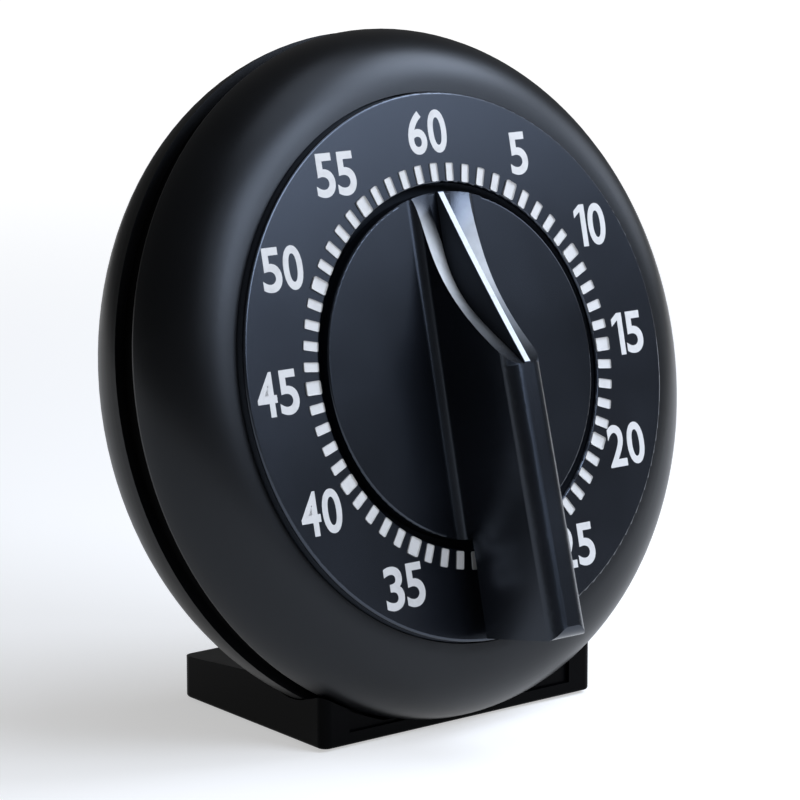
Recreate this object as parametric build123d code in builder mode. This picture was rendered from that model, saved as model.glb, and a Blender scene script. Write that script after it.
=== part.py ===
"""Sixty-minute clockwork kitchen timer: round case on a foot, dial, blade knob, train, bell.

Millimetres, +Z up. The origin is the middle of the foot's underside. The dial faces -Y and leans
back. In the case's own frame x runs to the right, u up along the dial and depths count back from
the dial's face along its axis.
"""

import os
from math import atan2, cos, degrees, hypot, pi, radians, sin, sqrt

from build123d import *

os.makedirs("parts", exist_ok=True)

# Stance of the case
dial_lean = 12.68
case_lift = 2.0
case_overhang = -0.15
overrun = 6.0
quarter_turn = 90.0
fit_gap = 0.1
running_gap = 0.05
thread_gap = 0.04

# Front shell, a thick rounded bezel
front_radius = 43.4
bezel_width = 9.15
bezel_sink = 1.3
front_rim_depth = 10.05
front_wall = 2.3
lip_wall = 2.6
rim_rounding = 0.6

# Waist ring between the two halves
waist_inset = 1.2
waist_band = 2.75
waist_spigot = 2.2
waist_wall = 1.5

# Rear cover
rear_overhang = 0.15
rear_round = 14.35
bell_clearance = 1.1
rear_wall = 2.3
back_wall = 2.0

# Case screws and their pillars
case_screw_count = 3
case_screw_inset = 9.0
case_screw_bearing = 90.0
case_screw_radius = 1.5
case_screw_reach = 6.6
case_screw_head_radius = 2.6
case_screw_head_height = 1.8
case_screw_head_sink = 4.0
screw_slot_width = 0.7
screw_slot_depth = 0.6
front_boss_radius = 2.8
rear_pillar_radius = 4.1
boss_gap = 0.3

# Sound slots in the back
sound_slot_count = 5
sound_slot_length = 20.0
sound_slot_width = 1.8
sound_slot_pitch = 4.2

# Foot
foot_width = 45.6
foot_depth = 32.6
foot_taper = 3.9
foot_front_height = 8.4
foot_back_height = 5.7
foot_floor = 2.0
foot_back_rounding = 2.0
foot_front_rounding = 1.2
foot_edge_rounding = 0.4
foot_saddle_gap = 0.15
foot_panel_depth = 0.5
foot_panel_rim = 4.2
foot_panel_lip = 1.6
sole_thickness = 0.4
sole_inset = 2.2
sole_rounding = 2.5
foot_screw_spacing = 18.0
foot_screw_offset = 9.35
foot_screw_radius = 1.2
foot_screw_head_radius = 2.3
foot_screw_head_height = 1.1
foot_screw_length = 5.4
seat_pad_thickness = 4.4
seat_pad_width = 30.0
seat_pad_length = 17.0

# Dial plate
dial_edge_gap = 0.2
dial_thickness = 1.8
dial_edge_rounding = 0.3
dial_edge_wall = 1.7
dial_flange_reach = 3.65
dial_flange_depth = 5.2
dial_flange = 1.5
knob_well_gap = 1.1
dial_cup_wall = 1.4
knob_float = 1.0
dial_cup_floor = 1.5
hub_gap = 0.6
dial_screw_edge = 1.5
dial_screw_bearing = 30.0
dial_screw_radius = 0.95
dial_screw_reach = 2.4
dial_screw_head_radius = 1.8
dial_screw_head_height = 1.1
dial_boss_radius = 2.0

# Knob
knob_radius = 21.6
knob_rise = 0.35
knob_disc = 1.95
knob_edge_rounding = 0.3
knob_hub_radius = 4.2
knob_hub_depth = 4.6
knob_bore_height = 5.0
ridge_height = 11.95
ridge_end_height = 13.2
ridge_half_width = 2.6
ridge_rounding = 2.0
ridge_corner = -0.6
blade_end = -34.6
blade_end_slant = 1.3
blade_end_rounding = 1.8
blade_end_lift = 0.03
blade_half_width = 4.45
blade_trim = 1.2
blade_float = 2.0
flare_rounding = 1.2
scoop_width = 5.6
scoop_overcut = 0.15
scoop_edge_shares = ((0.2, 0.26), (0.47, 0.0))
scoop_valley_shares = ((0.6, -0.1), (0.66, 0.3))
rib_half_width = 0.45
rib_start_height = 0.7
rib_sag = 0.2

# Main arbor and what turns with it
arbor_radius = 2.4
arbor_flat_cut = 0.7
spring_hub_step = 0.5
arbor_rear_step = 0.8
arbor_tail = 1.4

# Movement plates
plate_thickness = 0.8
front_plate_gap = 0.7
front_plate_margin = 2.8
back_plate_step = 5.0
back_plate_gap = 1.2
pillar_places = ((-19.5, 9.5), (-11.0, -21.0), (17.5, -12.5))
pillar_radius = 2.0
plate_screw_radius = 1.0
plate_screw_length = 3.6
plate_screw_head_radius = 2.0
plate_screw_head_height = 1.1
movement_screw_inset = 5.85
movement_screw_bearing = 150.0
movement_screw_radius = 1.0
movement_screw_length = 4.6
movement_screw_head_radius = 1.9
movement_screw_head_height = 1.2
movement_boss_radius = 2.5

# Mainspring
spring_outer_radius = 9.0
spring_strip = 0.3
spring_width = 3.2
spring_turns = 6
spring_steps = 20
spring_post_radius = 0.9
spring_end_bearing = 225.0

# Train: teeth, modules, wheel thicknesses and depths of the wheels behind the dial
main_teeth = 64
second_teeth = 56
third_teeth = 48
pinion_leaves = 8
main_module = 0.40
second_module = 0.32
third_module = 0.30
main_wheel_thickness = 1.0
train_wheel_thickness = 0.6
main_wheel_gap = 0.2
second_wheel_gap = 1.1
third_wheel_gap = 2.2
pinion_overlap = 0.55
train_arbor_radius = 0.9
pivot_radius = 0.45
second_bearing = 100.0
third_bearing = 25.0
escape_bearing = -30.0
wheel_addendum_share = 0.85
wheel_dedendum_share = 1.15
wheel_tooth_share = 0.44
wheel_tip_share = 0.16
leaf_addendum_share = 0.65
leaf_dedendum_share = 1.25
leaf_tooth_share = 0.34
leaf_tip_share = 0.16
wheel_arms = 4
wheel_rim_share = 0.82
wheel_hub_share = 0.36
wheel_arm_share = 0.18
wheel_hub_bores = 2

# Escapement
escape_teeth = 15
escape_radius = 5.2
escape_tooth_depth = 1.5
escape_rake_share = 0.25
escape_wheel_gap = 1.0
pallet_reach = 2.4
pallet_bearing = -50.0
pallet_pin_radius = 0.3
pallet_pin_gap = 0.75
pallet_span_pitches = 2.5
pallet_bar_half_length = 6.6
pallet_bar_width = 1.6
pallet_bar_gap = 0.4
pallet_bar_thickness = 0.7
pallet_weight_radius = 1.7

# Ratchet and click between the arbor and the main wheel
ratchet_radius = 5.2
ratchet_tooth = 0.9
ratchet_teeth = 16
ratchet_gap = 0.65
ratchet_thickness = 0.75
click_reach = 3.4
click_width = 1.6
click_bearing = -90.0
click_nose_bearing = -30.0
click_nose_share = 0.25
click_pin_radius = 0.7

# Bell, hammer and cam behind the back plate
bell_place = (-6.0, -3.5)
bell_radius = 15.0
bell_wall = 0.8
bell_rise = 2.65
bell_crown_radius = 6.0
bell_post_radius = 1.9
bell_screw_radius = 1.0
bell_screw_head_radius = 2.2
bell_screw_head_height = 0.9
strike_cam_radius = 3.6
strike_cam_notch = 0.8
strike_cam_thickness = 0.9
cam_gap = 0.25
hammer_bearing = -20.0
hammer_head_radius = 1.5
hammer_head_length = 2.2
hammer_gap = 0.45
hammer_arm = 9.0
hammer_arm_width = 0.9
hammer_thickness = 0.8
hammer_boss_radius = 1.9
hammer_stud_radius = 1.0
hammer_nose_side = 0.7
hammer_nose_drop = 1.3
hammer_nose_radius = 0.6
hammer_spring_wire = 0.4
hammer_spring_gap = 0.3
hammer_spring_anchor = (6.5, -7.0)
hammer_spring_reach = 2.7

# Planes, axis and small sums that every piece shares
lean = radians(dial_lean)
dial_height = front_radius + case_lift
dial_setback = foot_depth / 2 + case_overhang
out_way = Vector(0, -cos(lean), sin(lean))
up_way = Vector(0, sin(lean), cos(lean))
dial_centre = Vector(0, -dial_setback, dial_height)
section = Plane(origin=dial_centre, x_dir=(1, 0, 0), z_dir=-up_way)
side_plane = Plane(origin=dial_centre, x_dir=up_way, z_dir=(1, 0, 0))
dial_axis = Axis(dial_centre, out_way)
foot_front = -foot_depth / 2
foot_back = foot_depth / 2
foot_underside = sole_thickness
foot_floor_top = foot_underside + foot_floor
case_flat = foot_floor_top + fit_gap

# Radii of the case and the dial, each from the piece outside it
bezel_inner_radius = front_radius - bezel_width
waist_radius = front_radius - waist_inset
rear_radius = front_radius + rear_overhang
back_flat_radius = rear_radius - rear_round
case_screw_circle = front_radius - case_screw_inset
dial_radius = bezel_inner_radius - dial_edge_gap
dial_flange_radius = bezel_inner_radius + dial_flange_reach
dial_screw_circle = dial_flange_radius - dial_screw_edge
movement_screw_circle = dial_radius - movement_screw_inset
front_plate_radius = movement_screw_circle + front_plate_margin
back_plate_radius = front_plate_radius - back_plate_step
dial_cup_radius = knob_radius + knob_well_gap
dial_hub_hole_radius = knob_hub_radius + hub_gap
arbor_flat = arbor_radius - arbor_flat_cut
spring_hub_radius = arbor_radius + spring_hub_step
arbor_rear_radius = arbor_radius - arbor_rear_step
ratchet_root_radius = ratchet_radius - ratchet_tooth

# Depths behind the dial, each from the piece in front of it
dial_cup_depth = knob_disc - knob_rise + knob_float
cup_rear = dial_cup_depth + dial_cup_floor
dial_flange_rear = dial_flange_depth + dial_flange
front_plate_depth = dial_flange_rear + front_plate_gap
front_plate_rear = front_plate_depth + plate_thickness
spring_depth = front_plate_rear + cam_gap + running_gap
third_wheel_depth = front_plate_rear + third_wheel_gap
escape_wheel_depth = third_wheel_depth + train_wheel_thickness + escape_wheel_gap
ratchet_depth = spring_depth + spring_width + ratchet_gap
main_wheel_depth = ratchet_depth + ratchet_thickness + main_wheel_gap
main_wheel_rear = main_wheel_depth + main_wheel_thickness
pallet_bar_depth = main_wheel_rear + pallet_bar_gap
second_wheel_depth = main_wheel_rear + second_wheel_gap
back_plate_depth = second_wheel_depth + train_wheel_thickness + back_plate_gap
plate_spacing = back_plate_depth - front_plate_rear
movement_rear = back_plate_depth + plate_thickness
cam_depth = movement_rear + cam_gap
bell_rim_depth = cam_depth + strike_cam_thickness + fit_gap
bell_crown_depth = bell_rim_depth + bell_rise
rear_rim_depth = front_rim_depth + waist_band
case_depth = bell_crown_depth + bell_clearance + back_wall
case_screw_head_depth = case_depth - case_screw_head_sink


def at_depth(depth, place=(0, 0)):
    """Plane parallel to the dial, a depth behind it, centred on a place in the case's frame."""
    return Plane(
        origin=dial_centre + Vector(1, 0, 0) * place[0] + up_way * place[1] - out_way * depth,
        x_dir=(1, 0, 0),
        z_dir=out_way,
    )


def on_bearing(start, distance, bearing):
    """Place that lies a distance from another, on a bearing in degrees from +x."""
    return (start[0] + distance * cos(radians(bearing)), start[1] + distance * sin(radians(bearing)))


def polar(radius, angle):
    """Point at a radius and an angle in radians."""
    return (radius * cos(angle), radius * sin(angle))


def finish(piece, name):
    """Label a finished piece and write it."""
    piece.part.label = name
    export_step(piece.part, f"parts/{name}.step")


def tooth_outline(teeth, module, addendum, dedendum, tooth, tip, turned):
    """Outline of a wheel or a pinion: four points for each straight-flanked tooth."""
    pitch_angle = 2 * pi / teeth
    tip_radius = module * (teeth / 2 + addendum)
    root_radius = module * (teeth / 2 - dedendum)
    flank = (tooth - tip) / addendum
    root = tooth + flank * dedendum
    points = []
    for index in range(teeth):
        middle = index * pitch_angle + turned
        points.append(polar(root_radius, middle - root * pitch_angle / 2))
        points.append(polar(tip_radius, middle - tip * pitch_angle / 2))
        points.append(polar(tip_radius, middle + tip * pitch_angle / 2))
        points.append(polar(root_radius, middle + root * pitch_angle / 2))
    return points


def bezel_curve(wall_radial=0.0, wall_axial=0.0):
    """Rounded bezel line from the dial's opening out to the front shell's rim."""
    return EllipticalCenterArc(
        (bezel_inner_radius, -front_rim_depth),
        front_radius - bezel_inner_radius - wall_radial,
        front_rim_depth - bezel_sink - wall_axial,
        start_angle=0,
        arc_size=quarter_turn,
    )


def rear_profile(growth, front_depth):
    """Solid half section of the rear cover's outside, grown by a gap and run forward."""
    reach = rear_radius + growth
    sweep_radius = reach - back_flat_radius
    sweep_depth = case_depth + growth - rear_rim_depth
    bend = EllipticalCenterArc(
        (back_flat_radius, -rear_rim_depth),
        sweep_radius,
        sweep_depth,
        start_angle=-quarter_turn,
        arc_size=quarter_turn,
    )
    Polyline(
        bend @ 1,
        (reach, -front_depth),
        (0, -front_depth),
        (0, -case_depth - growth),
        bend @ 0,
    )


def screw_places(circle, count, first):
    """Places of screws spread evenly on a circle, the first on a bearing in degrees."""
    return [on_bearing((0, 0), circle, first + index * 360 / count) for index in range(count)]


case_screw_places = screw_places(case_screw_circle, case_screw_count, case_screw_bearing)
dial_screw_places = screw_places(dial_screw_circle, case_screw_count, dial_screw_bearing)
movement_screw_places = screw_places(movement_screw_circle, case_screw_count, movement_screw_bearing)

# Front shell: revolved bezel, rear screw bosses and dial screw bosses, a small flat over the foot's floor
with BuildPart() as front_shell:
    with BuildSketch(at_depth(front_rim_depth + waist_spigot)):
        with Locations(*case_screw_places):
            Circle(front_boss_radius)
    extrude(amount=front_rim_depth + waist_spigot - bezel_sink - lip_wall)
    with BuildSketch(at_depth(dial_flange_depth)):
        with Locations(*dial_screw_places):
            Circle(dial_boss_radius)
    extrude(amount=dial_flange_depth - bezel_sink - lip_wall / 2)
    with BuildSketch(at_depth(bezel_sink + lip_wall)):
        Circle(bezel_inner_radius)
    extrude(amount=lip_wall + bezel_sink, mode=Mode.SUBTRACT)
    with BuildSketch(section):
        with BuildLine():
            outside = bezel_curve()
            inside = bezel_curve(front_wall, lip_wall)
            Line(outside @ 1, inside @ 1)
            Line(outside @ 0, inside @ 0)
        make_face()
    revolve(axis=dial_axis)
    outer_rims = front_shell.edges().filter_by(GeomType.CIRCLE).sort_by(SortBy.RADIUS)
    fillet(outer_rims[-1], rim_rounding)
    with BuildSketch(at_depth(front_rim_depth + waist_spigot)):
        with Locations(*case_screw_places):
            Circle(case_screw_radius)
    extrude(amount=front_rim_depth + waist_spigot - case_screw_reach + screw_slot_depth, mode=Mode.SUBTRACT)
    with BuildSketch(at_depth(dial_flange_depth)):
        with Locations(*dial_screw_places):
            Circle(dial_screw_radius)
    extrude(amount=dial_flange_depth - dial_screw_reach - screw_slot_depth, mode=Mode.SUBTRACT)
    with BuildSketch(Plane.XY.offset(case_flat)):
        with Locations((0, foot_front - fit_gap)):
            Rectangle(2 * front_radius, front_radius, align=(Align.CENTER, Align.MIN))
    extrude(amount=-overrun, mode=Mode.SUBTRACT)
finish(front_shell, "front_shell")


def bore_radius(centre, reach, drop):
    """Radius of a half's rounded bore where a spigot ends, less the gap of the fit."""
    return centre + reach * sqrt(1 - (waist_spigot / drop) ** 2) - fit_gap


# Waist ring: spigots into both halves and the recessed band between them
front_bore = bore_radius(
    bezel_inner_radius,
    front_radius - bezel_inner_radius - front_wall,
    front_rim_depth - bezel_sink - lip_wall,
)
rear_bore = bore_radius(
    back_flat_radius,
    rear_radius - rear_wall - back_flat_radius,
    case_depth - back_wall - rear_rim_depth,
)
with BuildPart() as waist_ring:
    with BuildSketch(section):
        with BuildLine():
            Polyline(
                (front_bore - waist_wall, -(front_rim_depth - waist_spigot)),
                (front_bore, -(front_rim_depth - waist_spigot)),
                (front_bore, -front_rim_depth),
                (waist_radius, -front_rim_depth),
                (waist_radius, -rear_rim_depth),
                (rear_bore, -rear_rim_depth),
                (rear_bore, -(rear_rim_depth + waist_spigot)),
                (front_bore - waist_wall, -(rear_rim_depth + waist_spigot)),
                close=True,
            )
        make_face()
    revolve(axis=dial_axis)
    with BuildSketch(Plane.XY.offset(case_flat)):
        Rectangle(2 * front_radius, 2 * front_radius)
    extrude(amount=-overrun, mode=Mode.SUBTRACT)
finish(waist_ring, "waist_ring")

# Rear cover: bowl, screw pillars, foot seat and sound slots
foot_screw_y = foot_screw_offset - dial_setback
with BuildPart() as rear_cover:
    with BuildSketch(Plane.XY.offset(case_flat)):
        with Locations((0, foot_screw_y)):
            Rectangle(seat_pad_width, seat_pad_length)
    extrude(amount=seat_pad_thickness)
    with BuildSketch(at_depth(rear_rim_depth + waist_spigot + fit_gap)):
        Circle(2 * rear_radius)
    extrude(amount=case_depth, mode=Mode.SUBTRACT)
    with BuildSketch(at_depth(case_depth)):
        with Locations(*case_screw_places):
            Circle(rear_pillar_radius)
    extrude(amount=case_depth - front_rim_depth - waist_spigot - fit_gap)
    with BuildSketch(section):
        with BuildLine():
            rear_profile(-rear_wall / 2, front_rim_depth)
        make_face()
    revolve(axis=dial_axis, mode=Mode.INTERSECT)
    with BuildSketch(section):
        with BuildLine():
            outer_bend = EllipticalCenterArc(
                (back_flat_radius, -rear_rim_depth),
                rear_radius - back_flat_radius,
                case_depth - rear_rim_depth,
                start_angle=-quarter_turn,
                arc_size=quarter_turn,
            )
            inner_bend = EllipticalCenterArc(
                (back_flat_radius, -rear_rim_depth),
                rear_radius - rear_wall - back_flat_radius,
                case_depth - back_wall - rear_rim_depth,
                start_angle=-quarter_turn,
                arc_size=quarter_turn,
            )
            Line(outer_bend @ 1, inner_bend @ 1)
            Polyline(outer_bend @ 0, (0, -case_depth), (0, -(case_depth - back_wall)), inner_bend @ 0)
        make_face()
    revolve(axis=dial_axis)
    with BuildSketch(Plane.XY.offset(case_flat)):
        Rectangle(2 * rear_radius, 2 * rear_radius)
    extrude(amount=-overrun, mode=Mode.SUBTRACT)
    with BuildSketch(at_depth(case_depth + overrun)):
        with Locations(*case_screw_places):
            Circle(case_screw_radius + running_gap)
    extrude(amount=case_depth + overrun, mode=Mode.SUBTRACT)
    with BuildSketch(at_depth(case_depth + overrun)):
        with Locations(*case_screw_places):
            Circle(case_screw_head_radius + fit_gap)
    extrude(amount=case_depth + overrun - case_screw_head_depth, mode=Mode.SUBTRACT)
    with BuildSketch(at_depth(case_depth)):
        with GridLocations(sound_slot_pitch, sound_slot_pitch, 1, sound_slot_count):
            SlotOverall(sound_slot_length, sound_slot_width)
    extrude(amount=back_wall, mode=Mode.SUBTRACT)
    with BuildSketch(Plane.XY.offset(case_flat)):
        with Locations((0, foot_screw_y)):
            with GridLocations(foot_screw_spacing, foot_screw_spacing, 2, 1):
                Circle(foot_screw_radius + thread_gap)
    extrude(amount=seat_pad_thickness + overrun, mode=Mode.SUBTRACT)
finish(rear_cover, "rear_cover")

# Case screws: slotted pan heads sunk in the rear pillars
with BuildPart() as case_screws:
    for place in case_screw_places:
        with BuildSketch(at_depth(case_screw_head_depth, place)):
            Circle(case_screw_radius - thread_gap)
        extrude(amount=case_screw_head_depth - case_screw_reach)
        with BuildSketch(at_depth(case_screw_head_depth, place)):
            Circle(case_screw_head_radius)
        extrude(amount=-case_screw_head_height)
        with BuildSketch(at_depth(case_screw_head_depth + case_screw_head_height, place)):
            Rectangle(2 * case_screw_head_radius, screw_slot_width)
        extrude(amount=screw_slot_depth, mode=Mode.SUBTRACT)
finish(case_screws, "case_screws")

# Foot: tapered block, saddle for the case, floor, recessed front panel
foot_corners = (
    (-foot_width / 2, foot_front),
    (foot_width / 2, foot_front),
    (foot_width / 2 - foot_taper, foot_back),
    (-foot_width / 2 + foot_taper, foot_back),
)


def foot_plan():
    """Plan of the foot at its underside, narrower at the back, with rounded corners."""
    with BuildSketch(Plane.XY.offset(foot_underside)) as plan:
        with BuildLine():
            Polyline(*foot_corners, close=True)
        make_face()
        fillet(plan.vertices().group_by(Axis.Y)[-1], foot_back_rounding)
        fillet(plan.vertices().group_by(Axis.Y)[0], foot_front_rounding)
    return plan.sketch


with BuildPart() as foot:
    extrude(foot_plan(), amount=foot_front_height - foot_underside)
    with BuildSketch(Plane.YZ.offset(-foot_width)):
        with BuildLine():
            Polyline(
                (foot_front, foot_front_height),
                (foot_back, foot_back_height),
                (foot_back + overrun, foot_back_height),
                (foot_back + overrun, foot_front_height + overrun),
                (foot_front, foot_front_height + overrun),
                close=True,
            )
        make_face()
    extrude(amount=2 * foot_width, mode=Mode.SUBTRACT)
    with BuildSketch(section):
        with BuildLine():
            rear_profile(foot_saddle_gap, -overrun)
        make_face()
    revolve(axis=dial_axis, mode=Mode.SUBTRACT)
    extrude(foot_plan(), amount=foot_floor)
    fillet(foot.edges().group_by(Axis.Z)[0], foot_edge_rounding)
    with BuildSketch(Plane.XZ.offset(-foot_front)):
        with Locations((0, foot_underside + foot_panel_lip)):
            Rectangle(foot_width - 2 * foot_panel_rim, foot_front_height, align=(Align.CENTER, Align.MIN))
    extrude(amount=-foot_panel_depth, mode=Mode.SUBTRACT)
    with BuildSketch(Plane.XY.offset(foot_underside)):
        with Locations((0, foot_screw_y)):
            with GridLocations(foot_screw_spacing, foot_screw_spacing, 2, 1):
                Circle(foot_screw_radius + running_gap)
    extrude(amount=foot_floor, mode=Mode.SUBTRACT)
    with BuildSketch(Plane.XY.offset(foot_underside)):
        with Locations((0, foot_screw_y)):
            with GridLocations(foot_screw_spacing, foot_screw_spacing, 2, 1):
                Circle(foot_screw_head_radius + fit_gap)
    extrude(amount=foot_screw_head_height + fit_gap, mode=Mode.SUBTRACT)
finish(foot, "foot")

# Rubber sole glued under the foot
with BuildPart() as rubber_sole:
    with BuildSketch():
        with BuildLine():
            Polyline(
                (-foot_width / 2 + sole_inset, foot_front + sole_inset),
                (foot_width / 2 - sole_inset, foot_front + sole_inset),
                (foot_width / 2 - foot_taper - sole_inset, foot_back - sole_inset),
                (-foot_width / 2 + foot_taper + sole_inset, foot_back - sole_inset),
                close=True,
            )
        make_face()
        fillet(vertices(), sole_rounding)
    extrude(amount=sole_thickness)
finish(rubber_sole, "rubber_sole")

# Foot screws: up through the foot's floor into the rear cover's seat
with BuildPart() as foot_screws:
    with BuildSketch(Plane.XY.offset(foot_underside)):
        with Locations((0, foot_screw_y)):
            with GridLocations(foot_screw_spacing, foot_screw_spacing, 2, 1):
                Circle(foot_screw_head_radius)
    extrude(amount=foot_screw_head_height)
    with BuildSketch(Plane.XY.offset(foot_underside)):
        with Locations((0, foot_screw_y)):
            with GridLocations(foot_screw_spacing, foot_screw_spacing, 2, 1):
                Circle(foot_screw_radius)
    extrude(amount=foot_screw_length)
finish(foot_screws, "foot_screws")

# Dial plate: flat face, well for the knob, edge wall, screw flange, movement bosses
with BuildPart() as dial_plate:
    with BuildSketch(section) as dial_profile:
        with BuildLine():
            Polyline(
                (dial_hub_hole_radius, -dial_cup_depth),
                (dial_cup_radius, -dial_cup_depth),
                (dial_cup_radius, 0),
                (dial_radius, 0),
                (dial_radius, -dial_flange_depth),
                (dial_flange_radius, -dial_flange_depth),
                (dial_flange_radius, -dial_flange_rear),
                (dial_radius - dial_edge_wall, -dial_flange_rear),
                (dial_radius - dial_edge_wall, -dial_thickness),
                (dial_cup_radius + dial_cup_wall, -dial_thickness),
                (dial_cup_radius + dial_cup_wall, -cup_rear),
                (dial_hub_hole_radius, -cup_rear),
                close=True,
            )
        make_face()
        fillet(dial_profile.vertices().group_by(Axis.Y)[-1], dial_edge_rounding)
    revolve(axis=dial_axis)
    with BuildSketch(at_depth(front_plate_depth)):
        with Locations(*movement_screw_places):
            Circle(movement_boss_radius)
    extrude(amount=front_plate_depth - dial_thickness)
    with BuildSketch(at_depth(front_plate_depth)):
        with Locations(*movement_screw_places):
            Circle(movement_screw_radius + thread_gap)
    extrude(amount=front_plate_depth - dial_thickness, mode=Mode.SUBTRACT)
    with BuildSketch(at_depth(front_plate_depth)):
        with Locations(*case_screw_places):
            Circle(front_boss_radius + boss_gap)
    extrude(amount=front_plate_depth - bezel_sink - lip_wall + boss_gap, mode=Mode.SUBTRACT)
    with BuildSketch(at_depth(dial_flange_rear)):
        with Locations(*dial_screw_places):
            Circle(dial_screw_radius + fit_gap)
    extrude(amount=dial_flange, mode=Mode.SUBTRACT)
finish(dial_plate, "dial_plate")

# Dial screws: from behind, through the dial's flange into the front shell
with BuildPart() as dial_screws:
    for place in dial_screw_places:
        with BuildSketch(at_depth(dial_flange_rear, place)):
            Circle(dial_screw_radius - thread_gap)
        extrude(amount=dial_flange_rear - dial_screw_reach - screw_slot_depth)
        with BuildSketch(at_depth(dial_flange_rear, place)):
            Circle(dial_screw_head_radius)
        extrude(amount=-dial_screw_head_height)
finish(dial_screws, "dial_screws")


def scoop_face(side, shares, top):
    """Side view of a scoop in the grip's front end: a curve from the rim to just past the ridge's corner."""
    rim = (knob_radius, knob_rise)
    corner = (ridge_corner - scoop_overcut, ridge_height)
    holds = [
        (rim[0] + along * (corner[0] - rim[0]), rim[1] + rise * (corner[1] - rim[1]))
        for along, rise in shares
    ]
    with BuildSketch(side_plane.offset(side)) as scoop:
        with BuildLine():
            Bezier(rim, *holds, corner)
            Polyline(corner, (corner[0], top), (rim[0], top), rim)
        make_face()
    return scoop.sketch


def half_width(height, ridge_top):
    """Half width of the blade at a height, on its straight side from the disc up to the ridge."""
    narrowing = (blade_half_width - ridge_half_width) / (ridge_top - knob_rise)
    return blade_half_width - narrowing * (height - knob_rise)


def blade_section(height_on_dial, ridge_top):
    """Cross-section of the blade at a height on the dial, with a well rounded ridge."""
    low = half_width(blade_float, ridge_top)
    with BuildSketch(section.offset(-height_on_dial)) as blade:
        with BuildLine():
            Polyline(
                (-low, blade_float),
                (low, blade_float),
                (ridge_half_width, ridge_top),
                (-ridge_half_width, ridge_top),
                close=True,
            )
        make_face()
        fillet(blade.vertices().group_by(Axis.Y)[-1], ridge_rounding)
    return blade.sketch


# Knob: blade grip rounded into the disc, with two scoops and a straight pointer rib between them
knob_top = ridge_end_height + overrun
flare_top = blade_float + knob_rise
flare_waist = half_width(flare_top, ridge_height)
flare_reach = blade_half_width + 2 * flare_rounding
with BuildPart() as knob:
    with BuildSketch(section.offset(-knob_radius)) as flare:
        with BuildLine():
            Polyline(
                (-flare_reach, knob_rise - knob_disc),
                (flare_reach, knob_rise - knob_disc),
                (flare_reach, knob_rise),
                (blade_half_width, knob_rise),
                (flare_waist, flare_top),
                (-flare_waist, flare_top),
                (-blade_half_width, knob_rise),
                (-flare_reach, knob_rise),
                close=True,
            )
        make_face()
        for hand in (-1, 1):
            foot_of_blade = (hand * blade_half_width, knob_rise)
            fillet(flare.vertices().sort_by_distance(foot_of_blade)[0], flare_rounding)
    extrude(amount=2 * knob_radius)
    extrude(blade_section(knob_radius, ridge_height), amount=knob_radius - ridge_corner)
    with BuildSketch(at_depth(knob_disc)):
        Circle(knob_radius)
    extrude(amount=knob_top + knob_disc, mode=Mode.INTERSECT)
    loft(
        [
            blade_section(ridge_corner, ridge_height),
            blade_section(blade_end - blade_trim, ridge_end_height),
        ],
        ruled=True,
    )
    with BuildSketch(side_plane.offset(-flare_reach)) as trim:
        with BuildLine():
            Polyline(
                (ridge_corner, ridge_height + blade_end_lift),
                (blade_end, ridge_end_height + blade_end_lift),
                (blade_end + blade_end_slant, 0),
                (blade_end - overrun, 0),
                (blade_end - overrun, knob_top),
                (ridge_corner, knob_top),
                close=True,
            )
        make_face()
        end_corner = (blade_end, ridge_end_height + blade_end_lift)
        fillet(trim.vertices().sort_by_distance(end_corner)[0], blade_end_rounding)
    extrude(amount=2 * flare_reach, mode=Mode.SUBTRACT)
    rib_rise = ridge_height - rib_start_height
    rib_run = knob_radius - ridge_corner
    rib_middle = (
        (knob_radius + ridge_corner) / 2 - rib_sag * rib_rise / hypot(rib_rise, rib_run),
        (ridge_height + rib_start_height) / 2 - rib_sag * rib_run / hypot(rib_rise, rib_run),
    )
    with BuildSketch(side_plane.offset(-flare_reach)):
        with BuildLine():
            ThreePointArc((knob_radius, rib_start_height), rib_middle, (ridge_corner, ridge_height))
            Polyline(
                (ridge_corner, ridge_height),
                (ridge_corner, knob_top),
                (knob_radius, knob_top),
                (knob_radius, rib_start_height),
            )
        make_face()
    extrude(amount=2 * flare_reach, mode=Mode.SUBTRACT)
    for hand in (-1, 1):
        outer_scoop = scoop_face(hand * scoop_width, scoop_edge_shares, knob_top)
        inner_scoop = scoop_face(hand * rib_half_width, scoop_valley_shares, knob_top)
        loft([outer_scoop, inner_scoop], mode=Mode.SUBTRACT)
    with BuildSketch(section):
        with BuildLine():
            Polyline(
                (0, knob_rise),
                (knob_radius, knob_rise),
                (knob_radius, knob_rise - knob_disc),
                (0, knob_rise - knob_disc),
                close=True,
            )
        make_face()
        fillet(vertices().group_by(Axis.Y)[-1].sort_by(Axis.X)[-1], knob_edge_rounding)
    revolve(axis=dial_axis)
    with BuildSketch(at_depth(knob_hub_depth)):
        Circle(knob_hub_radius)
    extrude(amount=knob_hub_depth)
    with BuildSketch(at_depth(knob_hub_depth)):
        Circle(arbor_radius + running_gap)
        with Locations((0, arbor_flat + running_gap)):
            Rectangle(2 * knob_radius, knob_radius, align=(Align.CENTER, Align.MIN), mode=Mode.SUBTRACT)
    extrude(amount=knob_hub_depth + knob_bore_height, mode=Mode.SUBTRACT)
finish(knob, "knob")

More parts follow.
